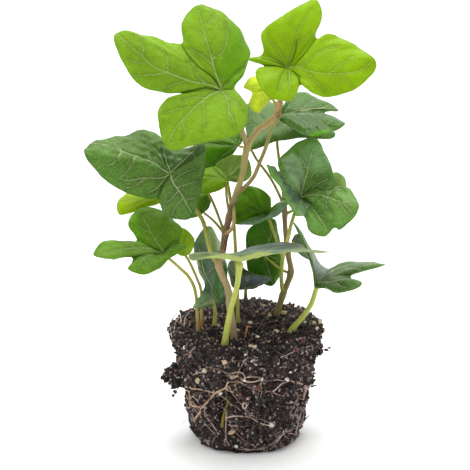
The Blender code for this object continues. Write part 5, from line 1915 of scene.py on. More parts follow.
    def blade_and_veins(self) -> tuple[bpy.types.Mesh, Rods]:
        """The blade as a closed sheet with its chart and attributes, and the pale veins that lie in it.

        Returns:
            The blade's mesh and the veins' rods.
        """
        joint = self.joint()
        edge, marks = self.outline()
        fan = BladeFan(joint, edge, self.plan.arch, self.ring_spacing)
        tree = self.vein_tree(fan.angles, fan.reaches, marks)
        seen = VIEW.seen(fan.grid.reshape(-1, 3))
        tree.veins += self.seen_veins(seen, fan)
        found = distance_to_segments(fan.chart, tree.segments())
        vein, nearest = (values.reshape(fan.shape) for values in found)
        fold = np.zeros(fan.shape)
        if self.detail.folds:
            lines = stretches(self.detail.folds, self.fold_width)
            fold = distance_to_segments(seen, lines)[0].reshape(fan.shape)
        fade = np.clip(fan.inwards / self.margin_fade, 0, 1) * np.clip(fan.distances / self.joint_fade, 0, 1)
        quilting = self.quilt * (1 - np.exp(-((nearest / self.quilt_width) ** 2))) - self.groove * vein
        crinkles = self.plan.crinkle * self.crinkles(fan.chart).reshape(fan.shape)
        puff = self.swelling(fan, edge, tree) + (quilting + crinkles - self.fold_depth * fold) * fade
        half = self.thickness / 2 * (1 - self.margin_thinning * fan.shares**8)[None, :]
        upper = fan.grid + fan.normals * (puff + half)[:, :, None]
        lower = fan.grid + fan.normals * (puff - half - self.rib * vein * fade)[:, :, None]
        glow = 0.35 * fan.shares[None, :] + 0.4 * (1 - np.exp(-((nearest / self.glow_width) ** 2))) - 0.05
        looks = {
            "vein": vein,
            # Painted shade in the creases between the lobes and along the folds.
            "crease": np.maximum(self.creases(tree, fan.distances) * fade, fold),
            "margin": np.exp(-fan.inwards / self.margin_width),
            "glow": np.clip(glow, 0, 1),
        }
        # Masks of the painted patches of tone, shade and sheen.
        for number, shade in enumerate(self.detail.shades):
            looks[f"shade_{number}"] = share_inside(seen, shade).reshape(fan.shape)
        centre = joint + np.outer((0.5, -0.5), fan.normal * self.thickness)
        return self.sheet(centre, upper, lower, fan.chart, looks), self.vein_rods(tree, fan, upper)

    def crinkles(self, chart: np.ndarray) -> np.ndarray:
        """Small uneven swellings over the chart, about -1 to 1.

        Args:
            chart: the places in the chart.

        Returns:
            A height for each place.
        """
        draw = random.Random(self.name)
        total = np.zeros(len(chart))
        for _ in range(self.crinkle_count):
            turn, size = draw.uniform(0, math.tau), draw.uniform(*self.crinkle_sizes)
            way = np.array((math.cos(turn), math.sin(turn))) * math.tau / size
            total += np.sin(chart @ way + draw.uniform(0, math.tau))
        return total / 4

    def sheet(self, centre: np.ndarray, upper: np.ndarray, lower: np.ndarray, chart: np.ndarray,
              looks: dict[str, np.ndarray]) -> bpy.types.Mesh:
        """Sews the two faces together and stores what the finish reads.

        Args:
            centre: the middles of the upper and the lower face, at the joint.
            upper: the upper face's places.
            lower: the lower face's places.
            chart: the flattened places.
            looks: how strongly a vein, the painted crease shade, the margin and light tissue show, for both
                faces alike.

        Returns:
            The mesh.
        """
        count, rings, _ = upper.shape
        size = count * rings
        places = np.concatenate((upper.reshape(-1, 3), lower.reshape(-1, 3), centre))
        index = np.arange(size).reshape(count, rings)
        beside = np.roll(index, -1, axis=0)
        inner, outer = index[:, :-1], index[:, 1:]
        inner_beside, outer_beside = beside[:, :-1], beside[:, 1:]
        top = np.stack((inner, inner_beside, outer_beside, outer), axis=2).reshape(-1, 4)
        bottom = np.stack((inner, outer, outer_beside, inner_beside), axis=2).reshape(-1, 4) + size
        rim = np.stack((index[:, -1], beside[:, -1], beside[:, -1] + size, index[:, -1] + size), axis=1)
        middle, under_middle = np.full(count, 2 * size), np.full(count, 2 * size + 1)
        hub = np.stack((middle, beside[:, 0], index[:, 0]), axis=1)
        under_hub = np.stack((under_middle, index[:, 0] + size, beside[:, 0] + size), axis=1)
        faces = [row for part in (top, bottom, rim, hub, under_hub) for row in part.tolist()]
        mesh = bpy.data.meshes.new(self.name)
        mesh.from_pydata((places * MILLIMETRE).tolist(), [], faces)
        mesh.validate()
        mesh.shade_smooth()
        store(mesh, "under", np.concatenate((np.zeros(size), np.ones(size), [0, 1])))
        for name, values in looks.items():
            store(mesh, name, np.concatenate((values.ravel(), values.ravel(), [0, 0])))
        flat = np.concatenate((chart, chart, [[0, 0], [0, 0]])) / self.chart_size + 0.5
        corners = np.zeros(len(mesh.loops), np.int32)
        mesh.loops.foreach_get("vertex_index", corners)
        layer = mesh.uv_layers.new(name="Chart")
        layer.data.foreach_set("uv", flat[corners].astype(np.float32).ravel())
        return mesh

    def stalk(self) -> Rods:
        """The stalk, from just inside the blade down to the soil or the stem.

        Returns:
            The stalk's rod.
        """
        plan = self.plan
        points = [self.joint(), *plan.stalk]
        if plan.held_by == "soil":
            x, y, z = points[-1]
            points.append((x, y, z - self.rooting))
        path = smooth_path(points, self.stalk_step)
        share = np.linspace(0, 1, len(path))
        girths = plan.stalk_radius * (0.96 + 0.24 * share)
        lengths = share * float(np.sum(np.linalg.norm(np.diff(path, axis=0), axis=1)))
        girths += (plan.neck - 0.7) * plan.stalk_radius * np.exp(-lengths / (1.8 * plan.neck))
        girths *= np.sqrt(np.clip(lengths / plan.neck, 0.1, 1.0))
        if plan.held_by == "soil":
            above = np.clip(lengths[-1] - self.rooting - lengths, 0, None)
            girths += self.foot_flare * plan.stalk_radius * np.exp(-above / self.flare_length)
        rods = Rods(self.name + "_stalk", sides=14, unevenness=0.12)
        rods.add(path, girths)
        return rods

    def build(self, stalk_material: bpy.types.Material) -> None:
        """Builds the blade, the veins and the stalk.

        Args:
            stalk_material: the stalk's material.
        """
        finish = LEAF_FINISHES[self.plan.foliage]
        mesh, veins = self.blade_and_veins()
        mesh.materials.append(finish.material(self.plan, self.name, self.detail.shades))
        present(new_object(self.name + "_blade", mesh), self.plan.slot, self.name)
        vein_material = finish.vein_material(self.plan, self.name)
        present(veins.build(vein_material), self.plan.slot, self.name)
        present(self.stalk().build(stalk_material), self.plan.slot, self.name)


KNOTS = (
    (1.1, ((-3.4, 15.4, -12.2), (-2.2, 14.2, -13.2), (-1.5, 13.0, -13.0))),
    (0.9, ((20.4, 58.8, -3.0), (21.6, 59.6, -3.5), (22.8, 60.4, -3.0))),
    (1.0, ((-5.6, 0.2, -15.6), (-4.8, -0.5, -16.2), (-4.0, -1.0, -15.6))),
)

SIDE_STRANDS = {
    "stem_main": (
        (0.85, (
            (-1.0, 14.2, -10.5), (-0.5, 12.0, -11.5), (-0.4, 9.0, -12.0), (-0.5, 6.0, -13.0),
            (-1.8, 3.0, -14.5), (-3.9, 0.8, -15.5), (-5.2, -0.6, -15.0),
        )),
        (0.9, ((20.0, 58.6, -2.0), (21.6, 59.6, -2.5), (23.2, 60.4, -2.5))),
    ),
}


@dataclass
class WoodyStem:
    """A woody stem with its fork, swollen where stalks leave it."""

    name: str
    plan: StemPlan
    swellings: list
    swelling: float = 0.35
    swelling_length: float = 2.2
    fork_tone: float = 0.82
    rooting: float = 8.0

    def build(self, material: bpy.types.Material) -> None:
        """Builds the stem.

        Args:
            material: the bark.
        """
        rods = Rods(self.name + "_bark", sides=20, unevenness=0.35, unevenness_size=2.4)
        foot = self.plan.foot_radius
        for number, points in enumerate(self.plan.branches):
            run = list(points)
            if number == 0:
                x, y, z = run[0]
                run.insert(0, (x, y, z - self.rooting))
            path = smooth_path(run, 1.0)
            girths = np.linspace(foot, self.plan.tip_radius, len(path))
            swollen = np.zeros(len(path))
            for place in self.swellings:
                distance = np.linalg.norm(path - np.array(place), axis=1)
                swell = self.swelling * np.exp(-((distance / self.swelling_length) ** 2))
                swollen = np.maximum(swollen, swell)
            rods.add(path, girths + swollen, self.fork_tone if number else 0.0)
            foot = (self.plan.foot_radius + self.plan.tip_radius) / 2
        for radius, points in SIDE_STRANDS.get(self.name, ()):
            path = smooth_path([VIEW.place(*point) for point in points], 1.0)
            rods.add(path, radius * np.linspace(1.0, 1.1, len(path)), self.fork_tone)
        present(rods.build(material), Slot.BARK, self.name)


def build_knots(material: bpy.types.Material) -> None:
    """Builds the knots on the main stem.

    Args:
        material: their finish.
    """
    rods = Rods("bark_knots", sides=12, unevenness=0.4, unevenness_size=1.5)
    for radius, points in KNOTS:
        path = smooth_path([VIEW.place(*point) for point in points], 0.5)
        rods.add(path, radius * np.sin(np.linspace(0.3, math.pi - 0.3, len(path))))
    present(rods.build(material), Slot.BARK, "stem_main")


SEEN_STRANDS = {
    "fine_roots": (ROOT_PALE, Slot.ROOT, 0.5, (
        (0.28, ((-16.5, -78.5), (-17.5, -82.5), (-15.5, -87), (-12.5, -92.5), (-8, -99))),
        (0.3, ((-24.5, -78), (-22.5, -83.5), (-21, -89.5), (-19.5, -92.5))),
        (0.22, ((-23.5, -81.5), (-21, -86), (-18, -89))), (0.22, ((-13, -79), (-11.5, -81))),
        (0.24, ((6, -71), (9, -70.75), (12.5, -71))),
        (0.36, ((-3.5, -70.5), (-1, -68.9), (2.5, -68.35), (4.75, -70), (5, -73))),
        (0.38, ((35.5, -76), (33, -85), (31.75, -92.5), (29.75, -99))),
        (0.32, ((32.5, -76.5), (34, -80.5), (33, -85.5), (34, -90.5), (31.5, -96.5))),
        (0.3, ((36.5, -90), (34, -93.3), (31.2, -98))),
        (0.24, ((31.2, -85.85), (29.5, -89), (28.3, -92.75))),
        (0.24, ((26.5, -90), (29, -85.5), (31, -82))),
        (0.24, ((23.7, -99.65), (27.5, -99), (31.2, -100.2), (33, -99))),
        (0.24, ((7.5, -104), (11.5, -106.5), (16.5, -108))),
        (0.2, ((22.5, -61), (27.5, -59), (32.5, -57), (38.5, -55))),
        (0.2, ((30.5, -53), (35, -51.5), (39.5, -52.5))), (0.22, ((4, -63), (6, -61))),
        (0.2, ((-24, -72), (-20, -69.5), (-14.5, -68))), (0.22, ((-22, -58.5), (-19, -55.5))),
        (0.3, ((-30.5, -48.5), (-29.5, -44), (-27, -40.5))),
        (0.34, ((-28, -48), (-27, -43.5), (-27.5, -39.5))),
        (0.28, ((-25.5, -46.5), (-25, -42), (-23, -39.5))), (0.24, ((-31, -51), (-32, -47), (-30.5, -42))),
        (0.2, ((41, -56), (43.5, -57.25), (47, -56.5))),
        (0.26, ((-22.25, -79.5), (-21, -82.5), (-17.5, -88), (-16.5, -91.5), (-13, -96), (-8.5, -101))),
        (0.22, ((-20.5, -80.5), (-17, -84.5), (-15.5, -88))),
        (0.3, ((35.5, -76.5), (33.5, -83), (32, -90), (30, -98.5))),
        (0.24, ((23, -100), (20.5, -104), (16.5, -107.5))), (0.2, ((36, -75.5), (38.5, -75.75), (41, -75))),
        (0.2, ((-27, -75.5), (-29, -78), (-30.5, -80))),
    )),
    "rim_fibres": (FIBRE_RUSTY, Slot.ROOT, 0.5, (
        (0.2, ((-31.5, -43.5), (-29.5, -40), (-27.5, -38))),
        (0.2, ((-30.5, -46.5), (-28.5, -41.5), (-29, -37))),
        (0.22, ((-29, -48.5), (-27.5, -43.5), (-25.5, -40.5))),
        (0.2, ((-27, -47.5), (-28.5, -43.5), (-31, -41.5))),
        (0.2, ((37.5, -51), (40.5, -52.5), (43.5, -51.5))),
        (0.2, ((30.5, -58.5), (34.5, -57), (39, -57.5))),
    )),
    "pale_fold": (ROOT_PALE, Slot.ROOT, 1.4, (
        (0.4, ((-20.5, -36.5), (-17.5, -35), (-14.5, -32.5), (-12.75, -30.5), (-11.5, -28.5))),
    )),
    "dark_root": (FIBRE_DARK, Slot.ROOT, 1.3, (
        (0.3, ((10.5, -49.75), (12.5, -47), (15, -45.65), (21, -44.5), (26.5, -45.65))),
    )),
    "amber_bark": (BARK_AMBER, Slot.ROOT, 0.7, (
        (0.65, ((6, -46.5), (5.5, -49.5), (5, -52))),
    )),
    "buried_stalk": (STALK_BURIED, Slot.ROOT, -0.2, (
        (0.9, ((-6.5, -96), (-6, -92), (-5, -88), (-3.75, -84.5), (-2.75, -81))),
    )),
    "white_ring": (ROOT_PALE, Slot.PEAT, 0.5, (
        (0.5, ((3.8, -85), (4.3, -83.8), (5.4, -83.8), (5.8, -85), (5.3, -86.5), (4.2, -86.5), (3.8, -85))),
    )),
}

SEEN_BITS = {
    "tan_chips": (BARK_CHIPS, (
        (7.75, -56.75, 2.6, 2.4, 0.8), (10, -56.75, 2.4, 2.2, 1), (7, -44.25, 2.6, 1.6, 0.95),
        (-5, -63.25, 3, 2.4, 0.55), (-14.75, -67.75, 2.8, 1.8, 0.8), (-18.2, -72.5, 2.2, 2.8, 0.6),
        (-8.5, -46.25, 2.6, 2.4, 0.5), (24.3, -40, 3.6, 2.6, 0.5), (17.1, -41, 2, 2.8, 0.55),
        (20.5, -48.8, 2.8, 1.8, 0.75), (11.4, -51.4, 2, 1.4, 0.9), (-1.55, -98.5, 2.8, 2.2, 0.5),
        (22.5, -104.8, 3.2, 2.4, 0.1), (39.5, -44.5, 2.2, 1.6, 0.7), (41, -47.5, 2, 2, 0.8),
        (35, -44.25, 1.6, 1.4, 0.8), (-24.5, -43.5, 1.8, 2.6, 0.4), (1.5, -48.5, 1.6, 2, 0.7),
        (-0.4, -53.15, 1.4, 1.2, 0.5), (-11.3, -52, 1.6, 1, 0.15), (-9, -53.15, 1.4, 1, 0.2),
        (-14.75, -52.55, 1.6, 1, 0.15), (-23.05, -59.45, 1.8, 1.6, 0.1), (-28.25, -62.3, 1.8, 1.8, 0.1),
        (14.25, -35.75, 3, 1.6, 0.4), (34, -38.5, 2.6, 1.2, 0.4), (42.65, -44, 2.4, 2.4, 0.75),
        (30.5, -41.5, 1.6, 1.2, 0.3), (24, -47.5, 1.4, 1, 0.3), (-5, -41.5, 1.6, 1.2, 0.3),
        (11, -39, 1.8, 1.3, 0.35), (21.5, -37, 1.8, 1.2, 0.35), (37, -49, 1.4, 1, 0.5),
        (3, -52.5, 1.8, 1.2, 0.4), (42.5, -49.5, 1.4, 1.2, 0.6), (39, -41.5, 1.4, 1.2, 0.5),
        (44, -47, 1.2, 1.2, 0.5),
    )),
    "dark_bits": (PEAT_CRUMBS, (
        (45.25, -57.4, 2.6, 1.2, 0.45), (46.75, -56.4, 1.8, 0.9, 0.5), (38, -75.65, 2.4, 1, 0.5),
        (40, -75.2, 1.8, 0.7, 0.4), (-29.25, -78.5, 2.2, 1.8, 0.4), (-30.5, -80.25, 1.5, 1.4, 0.35),
        (-32.5, -67.5, 2, 1.6, 0.4), (-34.5, -72, 1.8, 2.2, 0.4),
    )),
    "pale_specks": (WHITE_BITS, (
        (5.35, -60, 1.5, 2, 1), (-4.4, -48.8, 1.4, 1.6, 0.6), (17.7, -94.75, 3, 2.2, 0.3),
        (25.45, -72, 2, 2, 0.5), (13.4, -72, 1.2, 1.6, 0.9), (26, -54.5, 1, 1.6, 0.9),
        (27.45, -68.35, 1.2, 1.4, 1), (8.2, -62.9, 0.9, 1.1, 0.9), (0.75, -105.35, 1.8, 1.6, 0.8),
        (-9, -105.35, 1, 1.4, 0.9), (-7, -79, 2, 1.8, 0.2), (-24.75, -56, 1.6, 1.6, 0.6),
        (4.75, -72.5, 1.4, 1.6, 0.6), (38.5, -68.5, 1, 1, 0.9), (28, -83.5, 1, 0.8, 0.9),
        (21.5, -64, 1.2, 1.2, 0.4), (-9, -43.5, 1.2, 1, 0.8), (-22, -86.5, 1.4, 1.2, 0.4),
        (14.5, -86.5, 0.8, 0.8, 0.7),
    )),
    "reddish_flakes": (REDDISH_BITS, (
        (11.65, -76.1, 2.2, 4.2, 0.5), (2.75, -79.5, 2.2, 2, 0.6), (8.2, -74.95, 2.8, 1.4, 0.6),
        (18, -78.4, 2.2, 2.6, 0.5), (30.6, -58.3, 2.6, 2, 0.5), (34, -53.7, 2, 2.8, 0.4),
        (27.75, -53.7, 1.4, 2.2, 0.4), (-4.5, -59, 1.2, 1.8, 0.4), (-11.5, -92.5, 1.6, 1.6, 0.3),
        (6, -103, 2, 1.6, 0.4),
    )),
}

STREWN_BITS = {
    "peat_crumbs": (PEAT_CRUMBS, {
        "Density": 330000.0, "Smallest": 0.0003, "Largest": 0.0013, "Flatness": 0.42, "Seed": 3,
    }),
    "bark_chips": (BARK_CHIPS, {
        "Density": 3600.0, "Smallest": 0.0003, "Largest": 0.0010, "Flatness": 0.35, "Seed": 8,
    }),
    "white_bits": (WHITE_BITS, {
        "Density": 16000.0, "Smallest": 0.00015, "Largest": 0.0004, "Flatness": 0.45, "Seed": 12,
    }),
}


@dataclass
class RootBall:
    """The tapered root ball: lumpy peat, crumbs, bark chips, white bits and fibres."""

    height: float = 61.0
    profile: tuple = (
        (25.8, 0.0), (27.6, 4.0), (29.3, 13.0), (30.7, 22.0), (32.0, 31.0), (33.3, 39.0), (35.1, 46.0),
        (37.2, 52.0), (38.2, 56.5), (36.0, 60.0),
    )
    dome: float = 1.0
    top_tilt: float = 0.04
    lump_height: float = 2.4
    lump_size: float = 7.0
    top_lump_height: float = 2.6
    rim_wave: float = 2.4
    rim_wave_size: float = 16.0
    grain_heights: tuple = ((3.4, 1.5), (1.7, 1.0), (0.9, 0.5))
    spacing: float = 0.62
    clods: tuple = (
        (-84.0, 34.0, 5.2, 3.6), (-93.0, 28.0, 3.8, 2.4), (86.0, 47.0, 2.2, 1.2), (172.0, 34.0, 4.0, 1.0),
    )
    # Dents where the front view shows them, as across, up, size and depth; they are painted darker through
    # the crack shade.
    pits: tuple = (
        (-7.0, -83.0, 3.0, 2.6), (-6.5, -88.0, 3.2, 2.8), (-7.5, -93.0, 2.6, 2.2), (-5.0, -78.5, 2.2, 1.6),
    )
    sight_step: float = 0.5
    clod_lump: float = 2.6
    clod_lump_size: float = 3.2
    base_height: float = 1.5
    path_step: float = 1.2
    fibre_seed: int = 5
    fibres: int = 400
    fibres_on_top: float = 0.3
    fibre_girth: float = 0.09
    fibre_radius: float = 35.0

    @property
    def rim(self) -> Point:
        """The radius and height of the rim between the side and the top."""
        return self.profile[-1]

    def radius_at(self, height: float) -> float:
        """The plain radius at a height."""
        radii, heights = zip(*self.profile)
        return float(np.interp(height, heights, radii))

    def lump(self, place: Vector) -> float:
        """The soil's large unevenness at a place, about -1 to 1."""
        place = place / self.lump_size
        return noise.noise(place) + noise.noise(place * 2) / 2

    def grain(self, place: Vector) -> float:
        """The crumbly unevenness at a place, in millimetres: ridged, so that crumbs part at narrow cracks.

        Args:
            place: the place.

        Returns:
            How far it lies off the plain skin.
        """
        total = 0.0
        for size, height in self.grain_heights:
            total += height * (abs(noise.noise(place / size)) * 2 - 0.5)
        return total

    def side(self, angle: float, height: float) -> Vector:
        """A place on the ball's side, its angle in degrees from the front towards +X.

        Args:
            angle: its angle.
            height: its height.

        Returns:
            The place.
        """
        turn = math.radians(angle)
        across, back = math.sin(turn), -math.cos(turn)
        around = Vector((across, back, 0)) * self.rim[0]
        shift = self.rim_wave * noise.noise(around / self.rim_wave_size) * height / self.height
        radius = self.radius_at(height + shift)
        radius += self.lump_height * self.lump(Vector((radius * across, radius * back, height)))
        return Vector((radius * across, radius * back, height))

    def top(self, angle: float, radius: float) -> Vector:
        """A place on the ball's uneven top.

        Args:
            angle: its angle in degrees from the front towards +X.
            radius: its distance from the ball's axis.

        Returns:
            The place.
        """
        turn = math.radians(angle)
        x, y = radius * math.sin(turn), -radius * math.cos(turn)
        dome = self.dome * (1 - (radius / self.rim[0]) ** 2)
        lift = dome + y * self.top_tilt + self.top_lump_height * self.lump(Vector((x, y, self.height)))
        return Vector((x, y, self.height - self.dome + lift))

    def seen(self, across: float, up: float) -> tuple[Vector, Vector]:
        """The place on the ball that a point of the front view shows.

        Args:
            across: how far to the right of the view's middle.
            up: how far above it.

        Returns:
            The place, or past the ball's outline the nearest one, and the direction out of the ball there.
        """
        ray = VIEW.ray(across, up).normalized()
        start = VIEW.eye + ray * (VIEW.distance - 2 * self.height)
        nearest, best = start, math.inf
        for step in range(int(3 * self.height / self.sight_step)):
            place = start + ray * step * self.sight_step
            angle = math.degrees(math.atan2(place.x, -place.y))
            wall = self.side(angle, min(max(place.z, 0.0), self.rim[1]))
            reach = math.hypot(place.x, place.y)
            beyond = reach - math.hypot(wall.x, wall.y)
            lid = self.top(angle, min(reach, self.rim[0])).z
            if beyond < 0 and place.z < lid:
                return place, Vector((0, 0, 1)) if place.z > lid - 1.0 else level_way(place)
            if abs(beyond) + max(0.0, place.z - lid) < best:
                nearest, best = place, abs(beyond) + max(0.0, place.z - lid)
        return nearest, level_way(nearest)

    def seen_path(self, points: tuple, lift: float) -> np.ndarray:
        """A way over the ball through points of the front view.

        Args:
            points: the points, across and up.
            lift: how far the way stays off the skin.

        Returns:
            The places of the way.
        """
        flat = smooth_path([(across, up, 0.0) for across, up in points], self.path_step)
        places = [self.seen(across, up) for across, up, _ in flat]
        return np.array([place + outwards * lift for place, outwards in places])

    def rings(self) -> list[list[Vector]]:
        """The ball's skin as rings of places, from the base over the rim to the middle of the top.

        Returns:
            The rings, each with as many places.
        """
        radius, height = self.rim
        count = int(math.tau * self.profile[-2][0] / self.spacing)
        angles = [360 * index / count for index in range(count)]
        side_rings = int(height / self.spacing)
        rings = [[self.side(angle, height * index / side_rings) for angle in angles]
                 for index in range(side_rings + 1)]
        edge = rings[-1]
        top_rings = int(radius / self.spacing)
        for index in range(1, top_rings):
            inner = 1 - index / top_rings
            merging = max(0.0, 1 - index / top_rings * 8)
            plain = [Vector((place.x * inner, place.y * inner, place.z)) for place in edge]
            rings.append([
                self.top(angle, radius * inner).lerp(place, merging) for angle, place in zip(angles, plain)
            ])
        return rings

    def skin(self) -> bpy.types.Mesh:
        """The peat's skin as a closed mesh with the painted shade of its cracks stored.

        Returns:
            The mesh.
        """
        rings = self.rings()
        middle = Vector((0, 0, self.height / 2))
        pits = [(self.seen(across, up)[0], size, depth) for across, up, size, depth in self.pits]
        places, crack_shades = [], []
        for number, ring in enumerate(rings):
            firm = min(1.0, number * self.spacing / 2.0)
            for place in ring:
                grain = self.grain(place) * firm
                for pit, size, depth in pits:
                    grain -= depth * math.exp(-((place - pit).length / size) ** 2)
                outwards = (place - middle).normalized()
                places.append((place + outwards * grain) * MILLIMETRE)
                # Painted shade: the lower the skin lies, the darker.
                crack_shades.append(min(1.0, max(0.0, 0.45 - grain * 0.8)))
        size = len(rings[0])
        last = (len(rings) - 1) * size
        faces = []
        for start in range(0, last, size):
            for index in range(size):
                beside = (index + 1) % size
                faces.append((start + index, start + beside, start + size + beside, start + size + index))
        faces.append(tuple(reversed(range(size))))
        places.append(self.top(0, 0) * MILLIMETRE)
        crack_shades.append(0.3)
        faces += [(last + index, last + (index + 1) % size, len(places) - 1) for index in range(size)]
        mesh = bpy.data.meshes.new("peat_ball")
        mesh.from_pydata(places, [], faces)
        mesh.validate()
        mesh.shade_smooth()
        store(mesh, "hollow", np.array(crack_shades))
        return mesh

    def clod_mesh(self) -> bpy.types.Mesh:
        """The clods that stick out of the side, each a crumbly lump of peat.

        Returns:
            The mesh.
        """
        data = bmesh.new()
        for angle, height, size, reach in self.clods:
            place = self.side(angle, height)
            centre = place + level_way(place) * reach
            made = bmesh.ops.create_icosphere(data, subdivisions=4, radius=1.0)
            for vertex in made["verts"]:
                way = vertex.co.copy()
                spot = centre + way * size * 0.95
                lump = self.clod_lump * noise.noise(spot / self.clod_lump_size)
                spot += way * (self.grain(spot) * 1.2 + lump)
                vertex.co = spot * MILLIMETRE
        mesh = mesh_of("peat_clods", data)
        mesh.shade_smooth()
        # The clods are darker all over, as their own tone.
        store(mesh, "hollow", np.full(len(mesh.vertices), 0.6))
        return mesh

    def strewn_surface(self, *meshes: bpy.types.Mesh) -> bpy.types.Mesh:
        """The surface that bits are strewn over: the meshes together without the flat base.

        Args:
            meshes: the meshes.

        Returns:
            The surface.
        """
        data = bmesh.new()
        for mesh in meshes:
            data.from_mesh(mesh)
        low = [face for face in data.faces if face.calc_center_median().z < self.base_height * MILLIMETRE]
        bmesh.ops.delete(data, geom=low, context="FACES")
        return mesh_of("strewn_surface", data)

    def placed_bits(self, name: str, places: tuple) -> bpy.types.Mesh:
        """Lays single bits where the front view shows them.

        Args:
            name: the mesh's name.
            places: across, up, width and height in the front view, and tone of each bit.

        Returns:
            The bits.
        """
        draw = random.Random(len(places))
        data = bmesh.new()
        tones = []
        for across, up, width, height, tone in places:
            place, outwards = self.seen(across, up)
            thin = min(width, height)
            made = bmesh.ops.create_icosphere(data, subdivisions=2, radius=0.5)
            for vertex in made["verts"]:
                way = vertex.co * draw.uniform(0.75, 1.2) * (1 + 0.7 * noise.noise(vertex.co * 3 + place))
                spot = place + outwards * (0.35 * thin) + VIEW.upwards * way.z * height
                vertex.co = (spot + Vector((way.x * width, way.y * 0.6 * thin, 0))) * MILLIMETRE
                tones.append(tone)
        mesh = mesh_of(name, data)
        store(mesh, "tone", np.array(tones))
        return mesh

    def fibre_rods(self) -> Rods:
        """Thin fibres that wander over the skin, some with an end that stands off.

        Returns:
            The fibres' rods.
        """
        draw = random.Random(self.fibre_seed)
        rods = Rods("peat_fibres", sides=4, unevenness=0.0)
        for _ in range(self.fibres):
            on_top = draw.random() < self.fibres_on_top
            angle = draw.uniform(0, 360)
            level = draw.uniform(4, 34) if on_top else draw.uniform(2, 60)
            highest = self.fibre_radius if on_top else self.rim[1]
            heading = draw.uniform(0, math.tau)
            lift = draw.uniform(0.3, 0.8)
            flight = draw.choice((0.0, 0.0, 0.0, 0.05, 0.12, 0.3))
            path = []
            for index in range(draw.randint(6, 14)):
                place = self.top(angle, level) if on_top else self.side(angle, level)
                outwards = Vector((0, 0, 1)) if on_top else level_way(place)
                path.append(place + outwards * (lift + flight * index))
                heading += draw.uniform(-0.5, 0.5)
                angle += math.degrees(math.cos(heading) / max(level if on_top else 34.0, 6.0))
                level += math.sin(heading)
                if not 1.0 <= level <= highest:
                    break
            if len(path) > 3:
                girth = self.fibre_girth * draw.uniform(0.6, 1.5)
                rods.add(np.array(path), np.linspace(girth, girth * 0.5, len(path)))
        return rods

    def build(self) -> None:
        """Builds the ball and everything in its skin."""
        peat = PeatFinish().material()
        ball, clods = self.skin(), self.clod_mesh()
        for mesh in (ball, clods):
            mesh.materials.append(peat)
            present(new_object(mesh.name, mesh), Slot.PEAT, "soil_plug")
        bare = self.strewn_surface(ball, clods)
        for name, (finish, values) in STREWN_BITS.items():
            ground = new_object(name, bare.copy())
            strewn = grow(ground, "bits", {**values, "Material": finish.material()})
            present(strewn, Slot.PEAT, "soil_plug")
        for name, (finish, places) in SEEN_BITS.items():
            mesh = self.placed_bits(name, places)
            mesh.materials.append(finish.material())
            present(new_object(name, mesh), Slot.PEAT, "soil_plug")
        for name, (finish, slot, lift, strands) in SEEN_STRANDS.items():
            seen = Rods(name, sides=8, unevenness=0.25, unevenness_size=2.0)
            for girth, points in strands:
                path = self.seen_path(points, lift)
                seen.add(path, girth * np.linspace(1.1, 0.7, len(path)))
            present(seen.build(finish.material()), slot, "soil_plug")
        present(self.fibre_rods().build(FIBRE_RUSTY.material()), Slot.ROOT, "soil_plug")


@dataclass
class RootWeb:
    """Roots that lie on the root ball's side, with finer side roots."""

    name: str
    strands: tuple
    radius: float
    slimness: float
    ball: RootBall
    lift: float = 0.35
    path_step: float = 1.4
    side_turn: float = 5.5
    side_climb: float = 3.2
    lowest: float = 2.0
    highest: float = 57.0

    def path(self, strand: list | tuple) -> np.ndarray:
        """A strand's way over the uneven side.

        Args:
            strand: the strand's points, as an angle in degrees and a height.

        Returns:
            The places of the way.
        """
        around = math.radians(1) * self.ball.profile[0][0]
        flat = smooth_path([(angle * around, height, 0) for angle, height in strand], self.path_step)
        places = [self.ball.side(point[0] / around, point[1]) for point in flat]
        return np.array([place + level_way(place) * self.lift for place in places])

    def build(self, material: bpy.types.Material) -> None:
        """Builds the web.

        Args:
            material: the roots' finish.
        """
        draw = random.Random(len(self.name))
        rods = Rods(self.name + "_web", sides=10, unevenness=0.5, unevenness_size=1.8)
        for strand in self.strands:
            path = self.path(strand)
            rods.add(path, self.radius * self.slimness * np.linspace(1.0, 0.5, len(path)))
            for _ in range(len(strand)):
                angle, height = draw.choice(strand)
                side_root = [(angle, height)]
                heading = draw.uniform(0, math.tau)
                for _ in range(draw.randint(3, 6)):
                    heading += draw.uniform(-0.4, 0.4)
                    angle += self.side_turn * math.cos(heading)
                    height += self.side_climb * math.sin(heading)
                    side_root.append((angle, min(max(height, self.lowest), self.highest)))
                path = self.path(side_root)
                rods.add(path, self.radius * np.linspace(0.25, 0.12, len(path)))
        present(rods.build(material), Slot.ROOT, self.name)


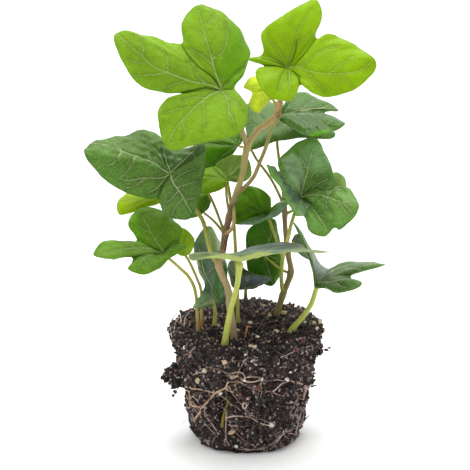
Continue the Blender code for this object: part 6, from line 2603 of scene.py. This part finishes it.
@dataclass(frozen=True)
class Studio:
    """The pale floor, the soft light and the camera. Its sizes and places are in metres."""

    floor_size: float = 6.0
    lamps: tuple = (
        ("overhead", (0.05, 0.25, 1.5), 1.5, 27.0),
        ("key", (-0.9, -1.0, 1.3), 0.8, 11.0),
        ("fill", (1.2, -0.7, 0.7), 0.8, 4.0),
    )
    lit_point: Point = (0, 0, 0.1)
    front_glow: float = 0.25
    back_glow: float = 1.15
    clip_end: float = 20.0

    def floor(self) -> None:
        """The plain pale floor."""
        half = self.floor_size / 2
        mesh = bpy.data.meshes.new("floor")
        corners = [(-half, -half, 0), (half, -half, 0), (half, half, 0), (-half, half, 0)]
        mesh.from_pydata(corners, [], [(0, 1, 2, 3)])
        material, board, surface = start_material("floor_white")
        board.feed(surface, {
            "Base Color": (0.93, 0.93, 0.93, 1.0),
            "Roughness": 0.9,
            "Specular IOR Level": 0.1,
        })
        mesh.materials.append(material)
        new_object("floor", mesh)

    def lamp(self, name: str, place: tuple, size: float, power: float) -> None:
        """A soft square lamp that faces the plant.

        Args:
            name: its name.
            place: where it hangs.
            size: its side.
            power: its power in watts.
        """
        light = bpy.data.lights.new(name, "AREA")
        light.size = size
        light.energy = power
        lamp = new_object(name, light)
        lamp.location = place
        lamp.rotation_euler = (Vector(self.lit_point) - Vector(place)).to_track_quat("-Z", "Y").to_euler()

    def sky(self) -> None:
        """A white surround, bright behind the plant and dim on the side it is seen from."""
        world = bpy.data.worlds.new("surround")
        world.use_nodes = True
        board = NodeBoard(world.node_tree)
        direction = board.add("ShaderNodeTexCoord").outputs["Generated"]
        parts = board.add("ShaderNodeSeparateXYZ", {0: direction})
        glow = board.span(parts.outputs[1], -0.7, 0.8, self.front_glow, self.back_glow)
        board.feed(world.node_tree.nodes["Background"], {"Color": (1.0, 1.0, 1.0, 1.0), "Strength": glow})
        bpy.context.scene.world = world

    def camera(self) -> None:
        """The camera, at the front view's eye."""
        data = bpy.data.cameras.new("camera")
        data.lens = VIEW.lens
        data.sensor_width = VIEW.sensor
        data.clip_end = self.clip_end
        camera = new_object("camera", data)
        camera.location = VIEW.eye * MILLIMETRE
        camera.rotation_euler = (math.pi / 2 - VIEW.tilt, 0, 0)
        bpy.context.scene.camera = camera

    def build(self) -> None:
        """Sets the whole studio up."""
        bpy.context.scene.view_settings.view_transform = "Standard"
        self.floor()
        self.sky()
        for lamp in self.lamps:
            self.lamp(*lamp)
        self.camera()


def main() -> None:
    """Builds the plant piece by piece."""
    logging.basicConfig(level=logging.INFO, format="%(name)s %(message)s")
    for lay_out in (blotches_group, fine_veins_group, rod_tree, bits_tree):
        LOG.info("node tree %s", lay_out().name)
    Studio().build()
    ball = RootBall()
    ball.build()
    tan, pale = ROOT_TAN.material(), ROOT_PALE.material()
    for name, (radius, strands) in ROOT_WEBS.items():
        slimness, material = (0.85, tan) if name in MAIN_ROOTS else (0.55, pale)
        RootWeb(name, strands, radius, slimness, ball).build(material)
    bark = {"stem_main": BARK_PINK.material(), "stem_right": BARK_BROWN.material()}
    for name, plan in STEMS.items():
        swellings = [leaf.stalk[-1] for leaf in LEAVES.values() if leaf.held_by == name]
        WoodyStem(name, plan, swellings).build(bark[name])
    build_knots(BARK_KNOT.material())
    finishes = (STALK_GREEN, STALK_RUSTY, STALK_BRIGHT, STALK_RUDDY)
    stalks = {finish: finish.material() for finish in finishes}
    for name, plan in LEAVES.items():
        detail = LEAF_DETAILS.get(name, LeafDetail())
        Leaf(name, plan, detail).build(stalks[STALK_FINISHES.get(name, STALK_GREEN)])


if __name__ == "__main__":
    main()
